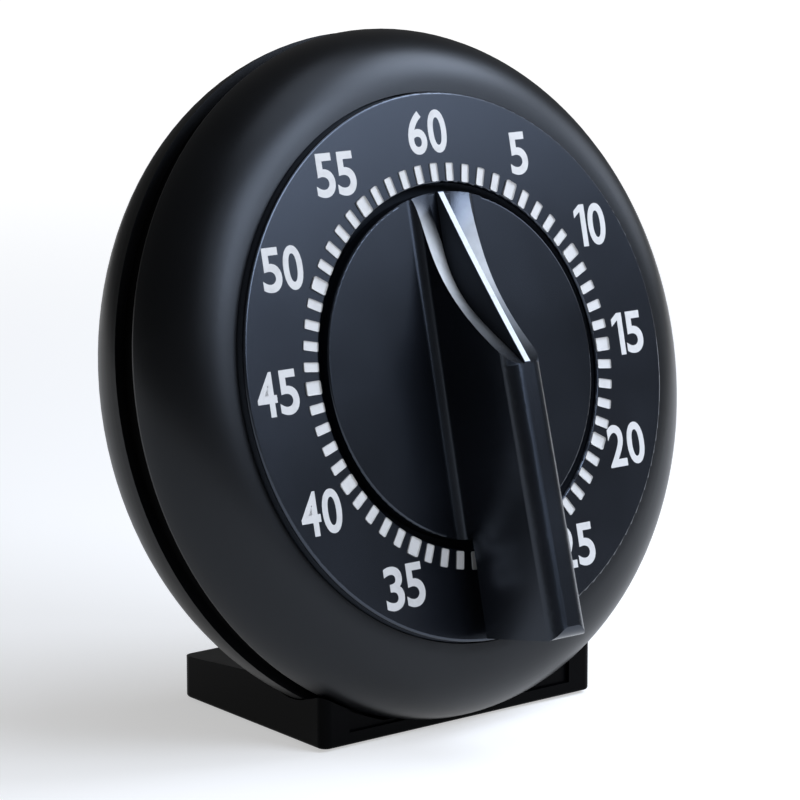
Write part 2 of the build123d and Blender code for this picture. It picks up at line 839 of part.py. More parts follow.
# Main arbor: stepped steel shaft, flatted where the knob sits
with BuildPart() as main_arbor:
    steps = (
        (arbor_radius, knob_bore_height - fit_gap, -(front_plate_rear + cam_gap)),
        (spring_hub_radius, -(front_plate_rear + cam_gap), -ratchet_depth),
        (arbor_radius, -ratchet_depth, -(main_wheel_depth + main_wheel_thickness)),
        (arbor_rear_radius, -(main_wheel_depth + main_wheel_thickness), -(movement_rear + arbor_tail)),
    )
    for radius, front_end, rear_end in steps:
        with BuildSketch(at_depth(-rear_end)):
            Circle(radius)
        extrude(amount=front_end - rear_end)
    with BuildSketch(at_depth(knob_hub_depth)):
        with Locations((0, arbor_flat)):
            Rectangle(2 * arbor_radius, arbor_radius, align=(Align.CENTER, Align.MIN))
    extrude(amount=knob_hub_depth + knob_bore_height, mode=Mode.SUBTRACT)
finish(main_arbor, "main_arbor")

# Places of the train's arbors
main_place = (0, 0)
second_place = on_bearing(main_place, main_module * (main_teeth + pinion_leaves) / 2, second_bearing)
third_place = on_bearing(second_place, second_module * (second_teeth + pinion_leaves) / 2, third_bearing)
escape_place = on_bearing(third_place, third_module * (third_teeth + pinion_leaves) / 2, escape_bearing)
pallet_place = on_bearing(escape_place, escape_radius + pallet_reach, pallet_bearing)
hammer_head_place = on_bearing(bell_place, bell_radius + hammer_gap + hammer_head_radius, hammer_bearing)
hammer_place = on_bearing(hammer_head_place, hammer_arm, hammer_bearing + quarter_turn)
hammer_nose = (hammer_nose_side, -(strike_cam_radius + hammer_nose_drop))
train_places = (second_place, third_place, escape_place, pallet_place)

# Movement plates with their bearings
with BuildPart() as movement_front_plate:
    with BuildSketch(at_depth(front_plate_rear)):
        Circle(front_plate_radius)
        Circle(arbor_radius + running_gap, mode=Mode.SUBTRACT)
        with Locations(*train_places):
            Circle(pivot_radius + running_gap, mode=Mode.SUBTRACT)
        with Locations(*movement_screw_places):
            Circle(movement_screw_radius + fit_gap, mode=Mode.SUBTRACT)
    extrude(amount=plate_thickness)
finish(movement_front_plate, "movement_front_plate")

with BuildPart() as movement_back_plate:
    with BuildSketch(at_depth(movement_rear)):
        Circle(back_plate_radius)
        Circle(arbor_rear_radius + running_gap, mode=Mode.SUBTRACT)
        with Locations(*train_places):
            Circle(pivot_radius + running_gap, mode=Mode.SUBTRACT)
        with Locations(*pillar_places):
            Circle(plate_screw_radius + fit_gap, mode=Mode.SUBTRACT)
    extrude(amount=plate_thickness)
finish(movement_back_plate, "movement_back_plate")

with BuildPart() as plate_pillars:
    with BuildSketch(at_depth(back_plate_depth)):
        with Locations(*pillar_places):
            Circle(pillar_radius)
            Circle(plate_screw_radius + thread_gap, mode=Mode.SUBTRACT)
    extrude(amount=plate_spacing)
finish(plate_pillars, "plate_pillars")


def make_screws(name, places, depth, radius, length, head_radius, head):
    """Slotted pan-head screws, one piece each, that enter forwards from a depth."""
    with BuildPart() as screws:
        for place in places:
            with BuildSketch(at_depth(depth, place)):
                Circle(radius)
            extrude(amount=length)
            with BuildSketch(at_depth(depth, place)):
                Circle(head_radius)
            extrude(amount=-head)
            with BuildSketch(at_depth(depth + head, place)):
                Rectangle(2 * head_radius, screw_slot_width)
            extrude(amount=head / 2, mode=Mode.SUBTRACT)
    finish(screws, name)


make_screws(
    "back_plate_screws",
    pillar_places,
    movement_rear,
    plate_screw_radius,
    plate_screw_length,
    plate_screw_head_radius,
    plate_screw_head_height,
)
make_screws(
    "movement_screws",
    movement_screw_places,
    front_plate_rear,
    movement_screw_radius,
    movement_screw_length,
    movement_screw_head_radius,
    movement_screw_head_height,
)

# Mainspring: flat strip wound from the arbor's hub to a post on the front plate
spring_inner_radius = spring_hub_radius + fit_gap
spring_count = spring_turns * spring_steps
spring_end_angle = radians(spring_end_bearing)


def spring_point(index, offset):
    """Point on the mainspring's strip, counted from its inner end."""
    share = index / spring_count
    radius = spring_inner_radius + share * (spring_outer_radius - spring_inner_radius) + offset
    return polar(radius, spring_end_angle + 2 * pi * spring_turns * (share - 1))


with BuildPart() as mainspring:
    with BuildSketch(at_depth(spring_depth + spring_width)):
        with BuildLine():
            Polyline(
                *[spring_point(index, 0) for index in range(spring_count + 1)],
                *[spring_point(index, spring_strip) for index in range(spring_count, -1, -1)],
                close=True,
            )
        make_face()
    extrude(amount=spring_width)
finish(mainspring, "mainspring")

spring_post_circle = spring_outer_radius + spring_strip + fit_gap + spring_post_radius
with BuildPart() as spring_post:
    with BuildSketch(at_depth(spring_depth + spring_width, polar(spring_post_circle, spring_end_angle))):
        Circle(spring_post_radius)
    extrude(amount=spring_depth + spring_width - front_plate_rear)
finish(spring_post, "spring_post")

# Ratchet wheel and click
with BuildPart() as ratchet_wheel:
    with BuildSketch(at_depth(ratchet_depth + ratchet_thickness)):
        with BuildLine():
            ratchet_points = []
            for index in range(ratchet_teeth):
                ratchet_points.append(polar(ratchet_radius, 2 * pi * index / ratchet_teeth))
                ratchet_points.append(polar(ratchet_root_radius, 2 * pi * index / ratchet_teeth))
            Polyline(*ratchet_points, close=True)
        make_face()
        Circle(arbor_radius + running_gap, mode=Mode.SUBTRACT)
    extrude(amount=ratchet_thickness)
finish(ratchet_wheel, "ratchet_wheel")

click_place = on_bearing(main_place, ratchet_radius + click_reach, click_bearing)
click_nose = on_bearing(main_place, ratchet_radius + fit_gap, click_nose_bearing)
with BuildPart() as click:
    with BuildSketch(at_depth(ratchet_depth + ratchet_thickness)):
        with BuildLine():
            Polyline(
                click_place,
                (click_place[0] + click_width, click_place[1] - click_width / 2),
                (click_nose[0] + click_width / 2, click_nose[1] - click_width / 2),
                click_nose,
                (click_nose[0] - click_width * click_nose_share, click_nose[1] - click_width),
                close=True,
            )
        make_face()
        with Locations(click_place):
            Circle(click_width)
            Circle(click_pin_radius + running_gap, mode=Mode.SUBTRACT)
    extrude(amount=ratchet_thickness)
finish(click, "click")


def leaf_face(module, turned, place, depth):
    """Flat face of a pinion at a depth."""
    shape = (leaf_addendum_share, leaf_dedendum_share, leaf_tooth_share, leaf_tip_share)
    with BuildSketch(at_depth(depth, place)) as face:
        with BuildLine():
            Polyline(*tooth_outline(pinion_leaves, module, *shape, turned), close=True)
        make_face()
    return face.sketch


def crossed_face(teeth, module, bore, turned, place, depth):
    """Flat face of a crossed-out wheel: toothed rim, arms, hub and bore."""
    shape = (wheel_addendum_share, wheel_dedendum_share, wheel_tooth_share, wheel_tip_share)
    rim = module * teeth / 2 * wheel_rim_share
    hub = max(module * teeth / 2 * wheel_hub_share, bore * wheel_hub_bores)
    with BuildSketch(at_depth(depth, place)) as face:
        with BuildLine():
            Polyline(*tooth_outline(teeth, module, *shape, turned), close=True)
        make_face()
        Circle(rim, mode=Mode.SUBTRACT)
        Circle(hub)
        for arm in range(wheel_arms // 2):
            Rectangle(2 * rim + module, rim * wheel_arm_share, rotation=arm * 360 / wheel_arms)
        Circle(bore, mode=Mode.SUBTRACT)
    return face.sketch


def make_arbor(name, place, leaves=(), leaf_length=0):
    """Train arbor with a pivot in each plate, and its leaves where it has a pinion."""
    with BuildPart() as arbor:
        with BuildSketch(at_depth(back_plate_depth - fit_gap, place)):
            Circle(train_arbor_radius)
        extrude(amount=plate_spacing - 2 * fit_gap)
        with BuildSketch(at_depth(movement_rear, place)):
            Circle(pivot_radius)
        extrude(amount=plate_spacing + 2 * plate_thickness)
        for leaf in leaves:
            extrude(leaf, amount=leaf_length)
    finish(arbor, name)


def make_pinion(name, place, turned, module, driver_depth, driver_thickness):
    """Pinion whose leaves stand a little past both faces of the wheel that drives it."""
    leaf_length = driver_thickness + 2 * pinion_overlap
    leaf_rear = driver_depth + driver_thickness + pinion_overlap
    make_arbor(name, place, (leaf_face(module, turned, place, leaf_rear),), leaf_length)


def make_wheel(name, teeth, module, turned, place, depth):
    """Thin crossed-out wheel of the train, riveted on its pinion's arbor."""
    with BuildPart() as wheel:
        rear = depth + train_wheel_thickness
        extrude(crossed_face(teeth, module, train_bore, turned, place, rear), amount=train_wheel_thickness)
    finish(wheel, name)


def leaf_phase(driver_turned, driver_teeth, bearing):
    """Turn of a pinion whose gap faces the tooth that its driving wheel points at it."""
    tooth_off = (radians(bearing) - driver_turned) % (2 * pi / driver_teeth)
    half_leaf = pi / pinion_leaves
    return radians(bearing) + pi + half_leaf + tooth_off * driver_teeth / pinion_leaves


second_turned = leaf_phase(0, main_teeth, second_bearing)
third_turned = leaf_phase(second_turned, second_teeth, third_bearing)
escape_turned = leaf_phase(third_turned, third_teeth, escape_bearing)
train_bore = train_arbor_radius + running_gap

with BuildPart() as main_wheel:
    main_bore = arbor_radius + running_gap
    extrude(
        crossed_face(main_teeth, main_module, main_bore, 0, main_place, main_wheel_rear),
        amount=main_wheel_thickness,
    )
    with BuildSketch(at_depth(main_wheel_rear, click_place)):
        Circle(click_width)
    extrude(amount=main_wheel_thickness)
    with BuildSketch(at_depth(main_wheel_rear, click_place)):
        Circle(click_pin_radius)
    extrude(amount=main_wheel_rear - ratchet_depth)
finish(main_wheel, "main_wheel")

make_pinion(
    "second_pinion", second_place, second_turned, main_module, main_wheel_depth, main_wheel_thickness
)
make_wheel("second_wheel", second_teeth, second_module, second_turned, second_place, second_wheel_depth)
make_pinion(
    "third_pinion", third_place, third_turned, second_module, second_wheel_depth, train_wheel_thickness
)
make_wheel("third_wheel", third_teeth, third_module, third_turned, third_place, third_wheel_depth)
make_pinion(
    "escape_pinion", escape_place, escape_turned, third_module, third_wheel_depth, train_wheel_thickness
)
make_arbor("pallet_arbor", pallet_place)

# Escape wheel: leaning saw teeth
with BuildPart() as escape_wheel:
    with BuildSketch(at_depth(escape_wheel_depth + train_wheel_thickness, escape_place)):
        with BuildLine():
            escape_points = []
            for index in range(escape_teeth):
                angle = 2 * pi * index / escape_teeth + escape_turned
                half_tooth = pi / escape_teeth
                escape_root = escape_radius - escape_tooth_depth
                escape_points.append(polar(escape_radius, angle))
                escape_points.append(polar(escape_root, angle + half_tooth * escape_rake_share))
                escape_points.append(polar(escape_root, angle + half_tooth))
            Polyline(*escape_points, close=True)
        make_face()
        Circle(train_bore, mode=Mode.SUBTRACT)
    extrude(amount=train_wheel_thickness)
finish(escape_wheel, "escape_wheel")

# Pallet lever with its two pins and weighted bar
pallet_half_span = pallet_span_pitches * 360 / escape_teeth / 2
pallet_pin_circle = escape_radius + pallet_pin_gap + pallet_pin_radius
pallet_pins = [
    on_bearing(escape_place, pallet_pin_circle, pallet_bearing + hand * pallet_half_span) for hand in (-1, 1)
]
pallet_rear = pallet_bar_depth + pallet_bar_thickness
with BuildPart() as pallet_lever:
    with BuildSketch(at_depth(pallet_rear)):
        for hand, pin in zip((-1, 1), pallet_pins):
            tip = on_bearing(pallet_place, pallet_bar_half_length, pallet_bearing + hand * quarter_turn)
            for end in (pin, tip):
                reach = hypot(end[0] - pallet_place[0], end[1] - pallet_place[1])
                heading = degrees(atan2(end[1] - pallet_place[1], end[0] - pallet_place[0]))
                with Locations(Location((*pallet_place, 0), (0, 0, heading))):
                    Rectangle(reach, pallet_bar_width, align=(Align.MIN, Align.CENTER))
            with Locations(tip):
                Circle(pallet_weight_radius)
            with Locations(pin):
                Circle(pallet_bar_width / 2)
        with Locations(pallet_place):
            Circle(pallet_weight_radius)
            Circle(train_bore, mode=Mode.SUBTRACT)
    extrude(amount=pallet_bar_thickness)
    with BuildSketch(at_depth(pallet_bar_depth)):
        with Locations(*pallet_pins):
            Circle(pallet_pin_radius)
    extrude(amount=pallet_bar_depth - escape_wheel_depth + fit_gap)
finish(pallet_lever, "pallet_lever")

# Strike cam at the arbor's tail, notched where the knob stands at zero
with BuildPart() as strike_cam:
    with BuildSketch(at_depth(cam_depth + strike_cam_thickness)):
        Circle(strike_cam_radius)
        with Locations((0, -strike_cam_radius)):
            Rectangle(2 * strike_cam_notch, 2 * strike_cam_notch, mode=Mode.SUBTRACT)
        Circle(arbor_rear_radius + running_gap, mode=Mode.SUBTRACT)
    extrude(amount=strike_cam_thickness)
finish(strike_cam, "strike_cam")

# Bell on its post, held by a screw
bell_floor = bell_crown_depth - bell_wall
with BuildPart() as bell_post:
    with BuildSketch(at_depth(bell_floor, bell_place)):
        Circle(bell_post_radius)
        Circle(bell_screw_radius + thread_gap, mode=Mode.SUBTRACT)
    extrude(amount=bell_floor - movement_rear)
finish(bell_post, "bell_post")

bell_section = Plane(origin=at_depth(0, bell_place).origin, x_dir=(1, 0, 0), z_dir=-up_way)
with BuildPart() as bell:
    with BuildSketch(bell_section):
        with BuildLine():
            outer_dome = EllipticalCenterArc(
                (bell_crown_radius, -bell_rim_depth),
                bell_radius - bell_crown_radius,
                bell_crown_depth - bell_rim_depth,
                start_angle=-quarter_turn,
                arc_size=quarter_turn,
            )
            inner_dome = EllipticalCenterArc(
                (bell_crown_radius, -bell_rim_depth),
                bell_radius - bell_crown_radius - bell_wall,
                bell_crown_depth - bell_rim_depth - bell_wall,
                start_angle=-quarter_turn,
                arc_size=quarter_turn,
            )
            Line(outer_dome @ 1, inner_dome @ 1)
            Polyline(
                outer_dome @ 0,
                (bell_screw_radius + fit_gap, -bell_crown_depth),
                (bell_screw_radius + fit_gap, -bell_floor),
                inner_dome @ 0,
            )
        make_face()
    revolve(axis=Axis(bell_section.origin, out_way))
finish(bell, "bell")

make_screws(
    "bell_screw",
    (bell_place,),
    bell_crown_depth,
    bell_screw_radius,
    bell_crown_depth - movement_rear,
    bell_screw_head_radius,
    bell_screw_head_height,
)

# Hammer on its stud, with a head beside the bell and a nose below the cam
with BuildPart() as hammer_stud:
    with BuildSketch(at_depth(cam_depth + hammer_thickness + fit_gap, hammer_place)):
        Circle(hammer_stud_radius)
    extrude(amount=cam_depth + hammer_thickness + fit_gap - movement_rear)
finish(hammer_stud, "hammer_stud")

with BuildPart() as hammer:
    with BuildSketch(at_depth(cam_depth + hammer_thickness)):
        for end in (hammer_head_place, hammer_nose):
            reach = hypot(end[0] - hammer_place[0], end[1] - hammer_place[1])
            heading = degrees(atan2(end[1] - hammer_place[1], end[0] - hammer_place[0]))
            with Locations(Location((*hammer_place, 0), (0, 0, heading))):
                Rectangle(reach, hammer_arm_width, align=(Align.MIN, Align.CENTER))
        with Locations(hammer_nose):
            Circle(hammer_nose_radius)
        with Locations(hammer_place):
            Circle(hammer_boss_radius)
            Circle(hammer_stud_radius + running_gap, mode=Mode.SUBTRACT)
    extrude(amount=hammer_thickness)
    with BuildSketch(at_depth(cam_depth + hammer_head_length, hammer_head_place)):
        Circle(hammer_head_radius)
    extrude(amount=hammer_head_length)
finish(hammer, "hammer")

# Hammer spring: a wire with one leg on the back plate and its end under the hammer's long arm
spring_level = cam_depth + hammer_thickness / 2
nose_heading = atan2(hammer_nose[1] - hammer_place[1], hammer_nose[0] - hammer_place[0])
spring_clear = hammer_arm_width / 2 + hammer_spring_gap + hammer_spring_wire / 2
spring_tip = (
    hammer_place[0] + hammer_spring_reach * cos(nose_heading) - spring_clear * sin(nose_heading),
    hammer_place[1] + hammer_spring_reach * sin(nose_heading) + spring_clear * cos(nose_heading),
)
wire_foot = at_depth(movement_rear, hammer_spring_anchor)
wire_bend = at_depth(spring_level, hammer_spring_anchor)
wire_tip = at_depth(spring_level, spring_tip)
with BuildPart() as hammer_spring:
    with BuildLine() as wire:
        Polyline(wire_foot.origin, wire_bend.origin, wire_tip.origin)
    with BuildSketch(wire_foot):
        Circle(hammer_spring_wire / 2)
    sweep(path=wire.line, transition=Transition.RIGHT)
finish(hammer_spring, "hammer_spring")
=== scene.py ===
"""Looks of a sixty-minute clockwork kitchen timer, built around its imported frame.

Metres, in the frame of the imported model: the timer stands on z = 0 and its dial faces -Y.
"""

import logging
import math
from collections.abc import Callable
from dataclasses import dataclass, field
from enum import Enum

import bpy
from mathutils import Color, Matrix, Vector


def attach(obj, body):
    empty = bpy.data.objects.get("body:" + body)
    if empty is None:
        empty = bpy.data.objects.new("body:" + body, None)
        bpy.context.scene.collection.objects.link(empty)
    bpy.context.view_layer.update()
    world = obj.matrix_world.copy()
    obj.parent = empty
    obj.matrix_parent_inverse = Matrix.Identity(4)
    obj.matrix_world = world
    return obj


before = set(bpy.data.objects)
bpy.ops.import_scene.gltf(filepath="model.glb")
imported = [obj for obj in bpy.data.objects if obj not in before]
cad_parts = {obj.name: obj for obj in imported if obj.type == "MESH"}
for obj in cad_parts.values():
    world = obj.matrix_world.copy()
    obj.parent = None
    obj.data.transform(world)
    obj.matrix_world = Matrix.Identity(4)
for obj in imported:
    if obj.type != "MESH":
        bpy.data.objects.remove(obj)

MM = 0.001
STEPS_OF_SHADE = 255.0
# Values between which most of a noise pattern lies
NOISE_SPAN = (0.3, 0.7)
# Places of the colour sockets on a Mix node
MIX_FIRST, MIX_SECOND, MIX_RESULT = 6, 7, 2
log = logging.getLogger("timer")


class Slot(Enum):
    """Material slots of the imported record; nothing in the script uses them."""

    DIAL = "dial_plastic"
    KNOB = "knob_plastic"


class Body(Enum):
    """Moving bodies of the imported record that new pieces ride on."""

    CASE = "case"
    KNOB = "knob"


@dataclass(frozen=True)
class Shade:
    """A colour as it is seen, in eight-bit steps.

    Args:
        red: red share, 0 to 255.
        green: green share, 0 to 255.
        blue: blue share, 0 to 255.
    """

    red: float
    green: float
    blue: float

    def linear(self, lift: float = 1.0) -> tuple[float, float, float, float]:
        """Turn the shade into the linear colour that shaders take.

        Args:
            lift: factor on the linear colour.

        Returns:
            Red, green, blue and an alpha of one.
        """
        seen = Color(part / STEPS_OF_SHADE for part in (self.red, self.green, self.blue))
        red, green, blue = (min(part * lift, 1.0) for part in seen.from_srgb_to_scene_linear())
        return (red, green, blue, 1.0)


@dataclass(frozen=True)
class Noise:
    """A noise pattern on object coordinates.

    Args:
        scale: waves per metre.
        detail: octaves of finer noise.
        stretch: scale along each axis, to draw the pattern out.
    """

    scale: float
    detail: float = 2.0
    stretch: tuple[float, float, float] = (1, 1, 1)

    def add(self, tree: bpy.types.NodeTree) -> bpy.types.NodeSocket:
        """Add the pattern to a node tree.

        Args:
            tree: the node tree to add it to.

        Returns:
            The socket that carries the noise value.
        """
        place = tree.nodes.new("ShaderNodeTexCoord")
        turn = tree.nodes.new("ShaderNodeMapping")
        turn.inputs["Scale"].default_value = self.stretch
        noise = tree.nodes.new("ShaderNodeTexNoise")
        noise.inputs["Scale"].default_value = self.scale
        noise.inputs["Detail"].default_value = self.detail
        tree.links.new(place.outputs["Object"], turn.inputs["Vector"])
        tree.links.new(turn.outputs["Vector"], noise.inputs["Vector"])
        return noise.outputs["Fac"]


def new_material(name: str) -> tuple[bpy.types.Material, bpy.types.NodeTree, bpy.types.Node]:
    """Start a node material.

    Args:
        name: the material's name.

    Returns:
        The material, its node tree and its main shader.
    """
    material = bpy.data.materials.new(name)
    material.use_nodes = True
    tree = material.node_tree
    return material, tree, tree.nodes["Principled BSDF"]


def add_ramp(
    tree: bpy.types.NodeTree,
    source: bpy.types.NodeSocket,
    low: tuple[float, float, float, float],
    high: tuple[float, float, float, float],
    start: float = 0.35,
    end: float = 0.65,
) -> bpy.types.NodeSocket:
    """Turn a pattern's value into a blend of two colours.

    Args:
        tree: the node tree to add it to.
        source: the pattern's value.
        low: colour where the pattern is low.
        high: colour where the pattern is high.
        start: value where the blend starts.
        end: value where the blend ends.

    Returns:
        The socket that carries the colour.
    """
    ramp = tree.nodes.new("ShaderNodeValToRGB")
    ramp.color_ramp.elements[0].position = start
    ramp.color_ramp.elements[0].color = low
    ramp.color_ramp.elements[1].position = end
    ramp.color_ramp.elements[1].color = high
    tree.links.new(source, ramp.inputs["Fac"])
    return ramp.outputs["Color"]


def add_math(
    tree: bpy.types.NodeTree,
    operation: str,
    first: bpy.types.NodeSocket,
    second: bpy.types.NodeSocket | None = None,
) -> bpy.types.NodeSocket:
    """Add a sum, product or other reckoning on one or two patterns.

    Args:
        tree: the node tree to add it to.
        operation: Blender's name of the operation.
        first: the first pattern.
        second: the second pattern, if the operation takes one.

    Returns:
        The socket that carries the result.
    """
    node = tree.nodes.new("ShaderNodeMath")
    node.operation = operation
    tree.links.new(first, node.inputs[0])
    if second is not None:
        tree.links.new(second, node.inputs[1])
    return node.outputs["Value"]


def add_dot(
    tree: bpy.types.NodeTree,
    source: bpy.types.NodeSocket,
    direction: Vector | tuple[float, float, float],
) -> bpy.types.NodeSocket:
    """Measure a vector pattern along a direction.

    Args:
        tree: the node tree to add it to.
        source: the vector pattern.
        direction: the direction, of length one.

    Returns:
        The socket that carries the measure.
    """
    node = tree.nodes.new("ShaderNodeVectorMath")
    node.operation = "DOT_PRODUCT"
    node.inputs[1].default_value = direction
    tree.links.new(source, node.inputs[0])
    return node.outputs["Value"]


def add_length(tree: bpy.types.NodeTree, source: bpy.types.NodeSocket) -> bpy.types.NodeSocket:
    """Measure the length of a vector pattern.

    Args:
        tree: the node tree to add it to.
        source: the vector pattern.

    Returns:
        The socket that carries the length.
    """
    node = tree.nodes.new("ShaderNodeVectorMath")
    node.operation = "LENGTH"
    tree.links.new(source, node.inputs[0])
    return node.outputs["Value"]


def add_offset(tree: bpy.types.NodeTree, start: Vector) -> bpy.types.NodeSocket:
    """Measure each point of a piece from a starting point.

    Args:
        tree: the node tree to add it to.
        start: the starting point.

    Returns:
        The socket that carries the way from the starting point.
    """
    place = tree.nodes.new("ShaderNodeTexCoord")
    node = tree.nodes.new("ShaderNodeVectorMath")
    node.operation = "SUBTRACT"
    node.inputs[1].default_value = start
    tree.links.new(place.outputs["Object"], node.inputs[0])
    return node.outputs["Vector"]


def add_fade(
    tree: bpy.types.NodeTree,
    source: bpy.types.NodeSocket,
    start: float,
    end: float,
    shares: tuple[float, float] = (0.0, 1.0),
) -> bpy.types.NodeSocket:
    """Fade softly from one share to another between two values.

    Args:
        tree: the node tree to add it to.
        source: the measure that the fade follows.
        start: value at which the fade starts.
        end: value at which it ends, above or below the start.
        shares: the shares at its start and at its end.

    Returns:
        The socket that carries the share.
    """
    node = tree.nodes.new("ShaderNodeMapRange")
    node.interpolation_type = "SMOOTHSTEP"
    node.inputs["From Min"].default_value = min(start, end)
    node.inputs["From Max"].default_value = max(start, end)
    node.inputs["To Min"].default_value = shares[0] if start < end else shares[1]
    node.inputs["To Max"].default_value = shares[1] if start < end else shares[0]
    tree.links.new(source, node.inputs["Value"])
    return node.outputs["Result"]


def add_limits(
    tree: bpy.types.NodeTree,
    share: bpy.types.NodeSocket,
    limits: tuple[tuple[bpy.types.NodeSocket, float, float], ...],
) -> bpy.types.NodeSocket:
    """Keep a share only between limits of place.

    Args:
        tree: the node tree to add them to.
        share: the share.
        limits: a measure for each limit, with its values outside and inside.

    Returns:
        The socket that carries the limited share.
    """
    for measure, outside, inside in limits:
        share = add_math(tree, "MULTIPLY", share, add_fade(tree, measure, outside, inside))
    return share


def blend_into(
    tree: bpy.types.NodeTree,
    name: str,
    share: bpy.types.NodeSocket,
    second: bpy.types.NodeSocket | tuple[float, float, float, float],
) -> None:
    """Blend what feeds a socket of the main shader into a second pattern or colour.

    Args:
        tree: the node tree to add the blend to.
        name: the socket's name.
        share: share of the second.
        second: the second pattern, or a plain colour.
    """
    socket = tree.nodes["Principled BSDF"].inputs[name]
    node = tree.nodes.new("ShaderNodeMix")
    node.data_type = "RGBA"
    tree.links.new(share, node.inputs["Factor"])
    tree.links.new(socket.links[0].from_socket, node.inputs[MIX_FIRST])
    if isinstance(second, tuple):
        node.inputs[MIX_SECOND].default_value = second
    else:
        tree.links.new(second, node.inputs[MIX_SECOND])
    tree.links.new(node.outputs[MIX_RESULT], socket)


def add_range(
    tree: bpy.types.NodeTree, source: bpy.types.NodeSocket, low: float, high: float
) -> bpy.types.NodeSocket:
    """Map a noise pattern's value onto a range.

    Args:
        tree: the node tree to add it to.
        source: the noise value.
        low: result where the pattern is low.
        high: result where the pattern is high.

    Returns:
        The socket that carries the mapped value.
    """
    scale = tree.nodes.new("ShaderNodeMapRange")
    scale.inputs["From Min"].default_value = NOISE_SPAN[0]
    scale.inputs["From Max"].default_value = NOISE_SPAN[1]
    scale.inputs["To Min"].default_value = low
    scale.inputs["To Max"].default_value = high
    tree.links.new(source, scale.inputs["Value"])
    return scale.outputs["Result"]


def add_bump(
    tree: bpy.types.NodeTree,
    shader: bpy.types.Node,
    source: bpy.types.NodeSocket,
    height: float,
    strength: float,
) -> None:
    """Roughen a shader's surface with a pattern.

    Args:
        tree: the node tree to add it to.
        shader: the shader that gets the bumps.
        source: the pattern's value.
        height: bump height in metres.
        strength: share of the effect, 0 to 1.
    """
    bump = tree.nodes.new("ShaderNodeBump")
    bump.inputs["Strength"].default_value = strength
    bump.inputs["Distance"].default_value = height
    tree.links.new(source, bump.inputs["Height"])
    tree.links.new(bump.outputs["Normal"], shader.inputs["Normal"])


@dataclass(frozen=True)
class CaseFrame:
    """The leaning frame of the case, in which the dial lies flat.

    Args:
        lean: angle in degrees by which the dial leans back.
        height: height of the dial's centre above the table.
        setback: distance of the dial's centre in front of the origin.
    """

    lean: float = 12.68
    height: float = 45.4 * MM
    setback: float = 16.15 * MM

    def matrix(self) -> Matrix:
        """Place a piece that was made flat, with x right, y up the dial and z out of it.

        Returns:
            The matrix from the flat frame to the model's frame.
        """
        stand = Matrix.Rotation(math.radians(90 - self.lean), 4, "X")
        return Matrix.Translation((0, -self.setback, self.height)) @ stand

    def centre(self) -> Vector:
        """Find the dial's centre."""
        return self.matrix().translation

    def upwards(self) -> Vector:
        """Find the direction up the dial."""
        return self.matrix().to_3x3().col[1]

    def outwards(self) -> Vector:
        """Find the direction out of the dial."""
        return self.matrix().to_3x3().col[2]


@dataclass(frozen=True)
class PlasticFinish:
    """Moulded plastic with a fine spark-eroded grain and slight unevenness.

    Args:
        name: the material's name.
        shade: colour of the plastic.
        tint: colour of its sheen.
        gloss: strength of its reflection, 0.5 for plain plastic.
        roughness: lowest and highest roughness.
        grain: size of the grain in metres.
        depth: height of the grain in metres.
        relief: strength of the grain.
        mottle: share by which the colour varies.
        clouds: pattern of the colour.
        patches: pattern of the roughness.
    """

    name: str
    shade: Shade
    tint: Shade = Shade(255, 255, 255)
    gloss: float = 0.5
    roughness: tuple[float, float] = (0.36, 0.42)
    grain: float = 0.35 * MM
    depth: float = 0.004 * MM
    relief: float = 0.6
    mottle: float = 0.12
    clouds: Noise = Noise(120.0, 4.0)
    patches: Noise = Noise(60.0, 3.0)

    def build(self) -> bpy.types.Material:
        """Build the plastic.

        Returns:
            The finished material.
        """
        material, tree, shader = new_material(self.name)
        shader.inputs["Specular IOR Level"].default_value = self.gloss
        shader.inputs["Specular Tint"].default_value = self.tint.linear()
        deep, pale = self.shade.linear(1 - self.mottle), self.shade.linear(1 + self.mottle)
        colour = add_ramp(tree, self.clouds.add(tree), deep, pale)
        tree.links.new(colour, shader.inputs["Base Color"])
        roughness = add_range(tree, self.patches.add(tree), *self.roughness)
        tree.links.new(roughness, shader.inputs["Roughness"])
        add_bump(tree, shader, Noise(1 / self.grain).add(tree), self.depth, self.relief)
        return material


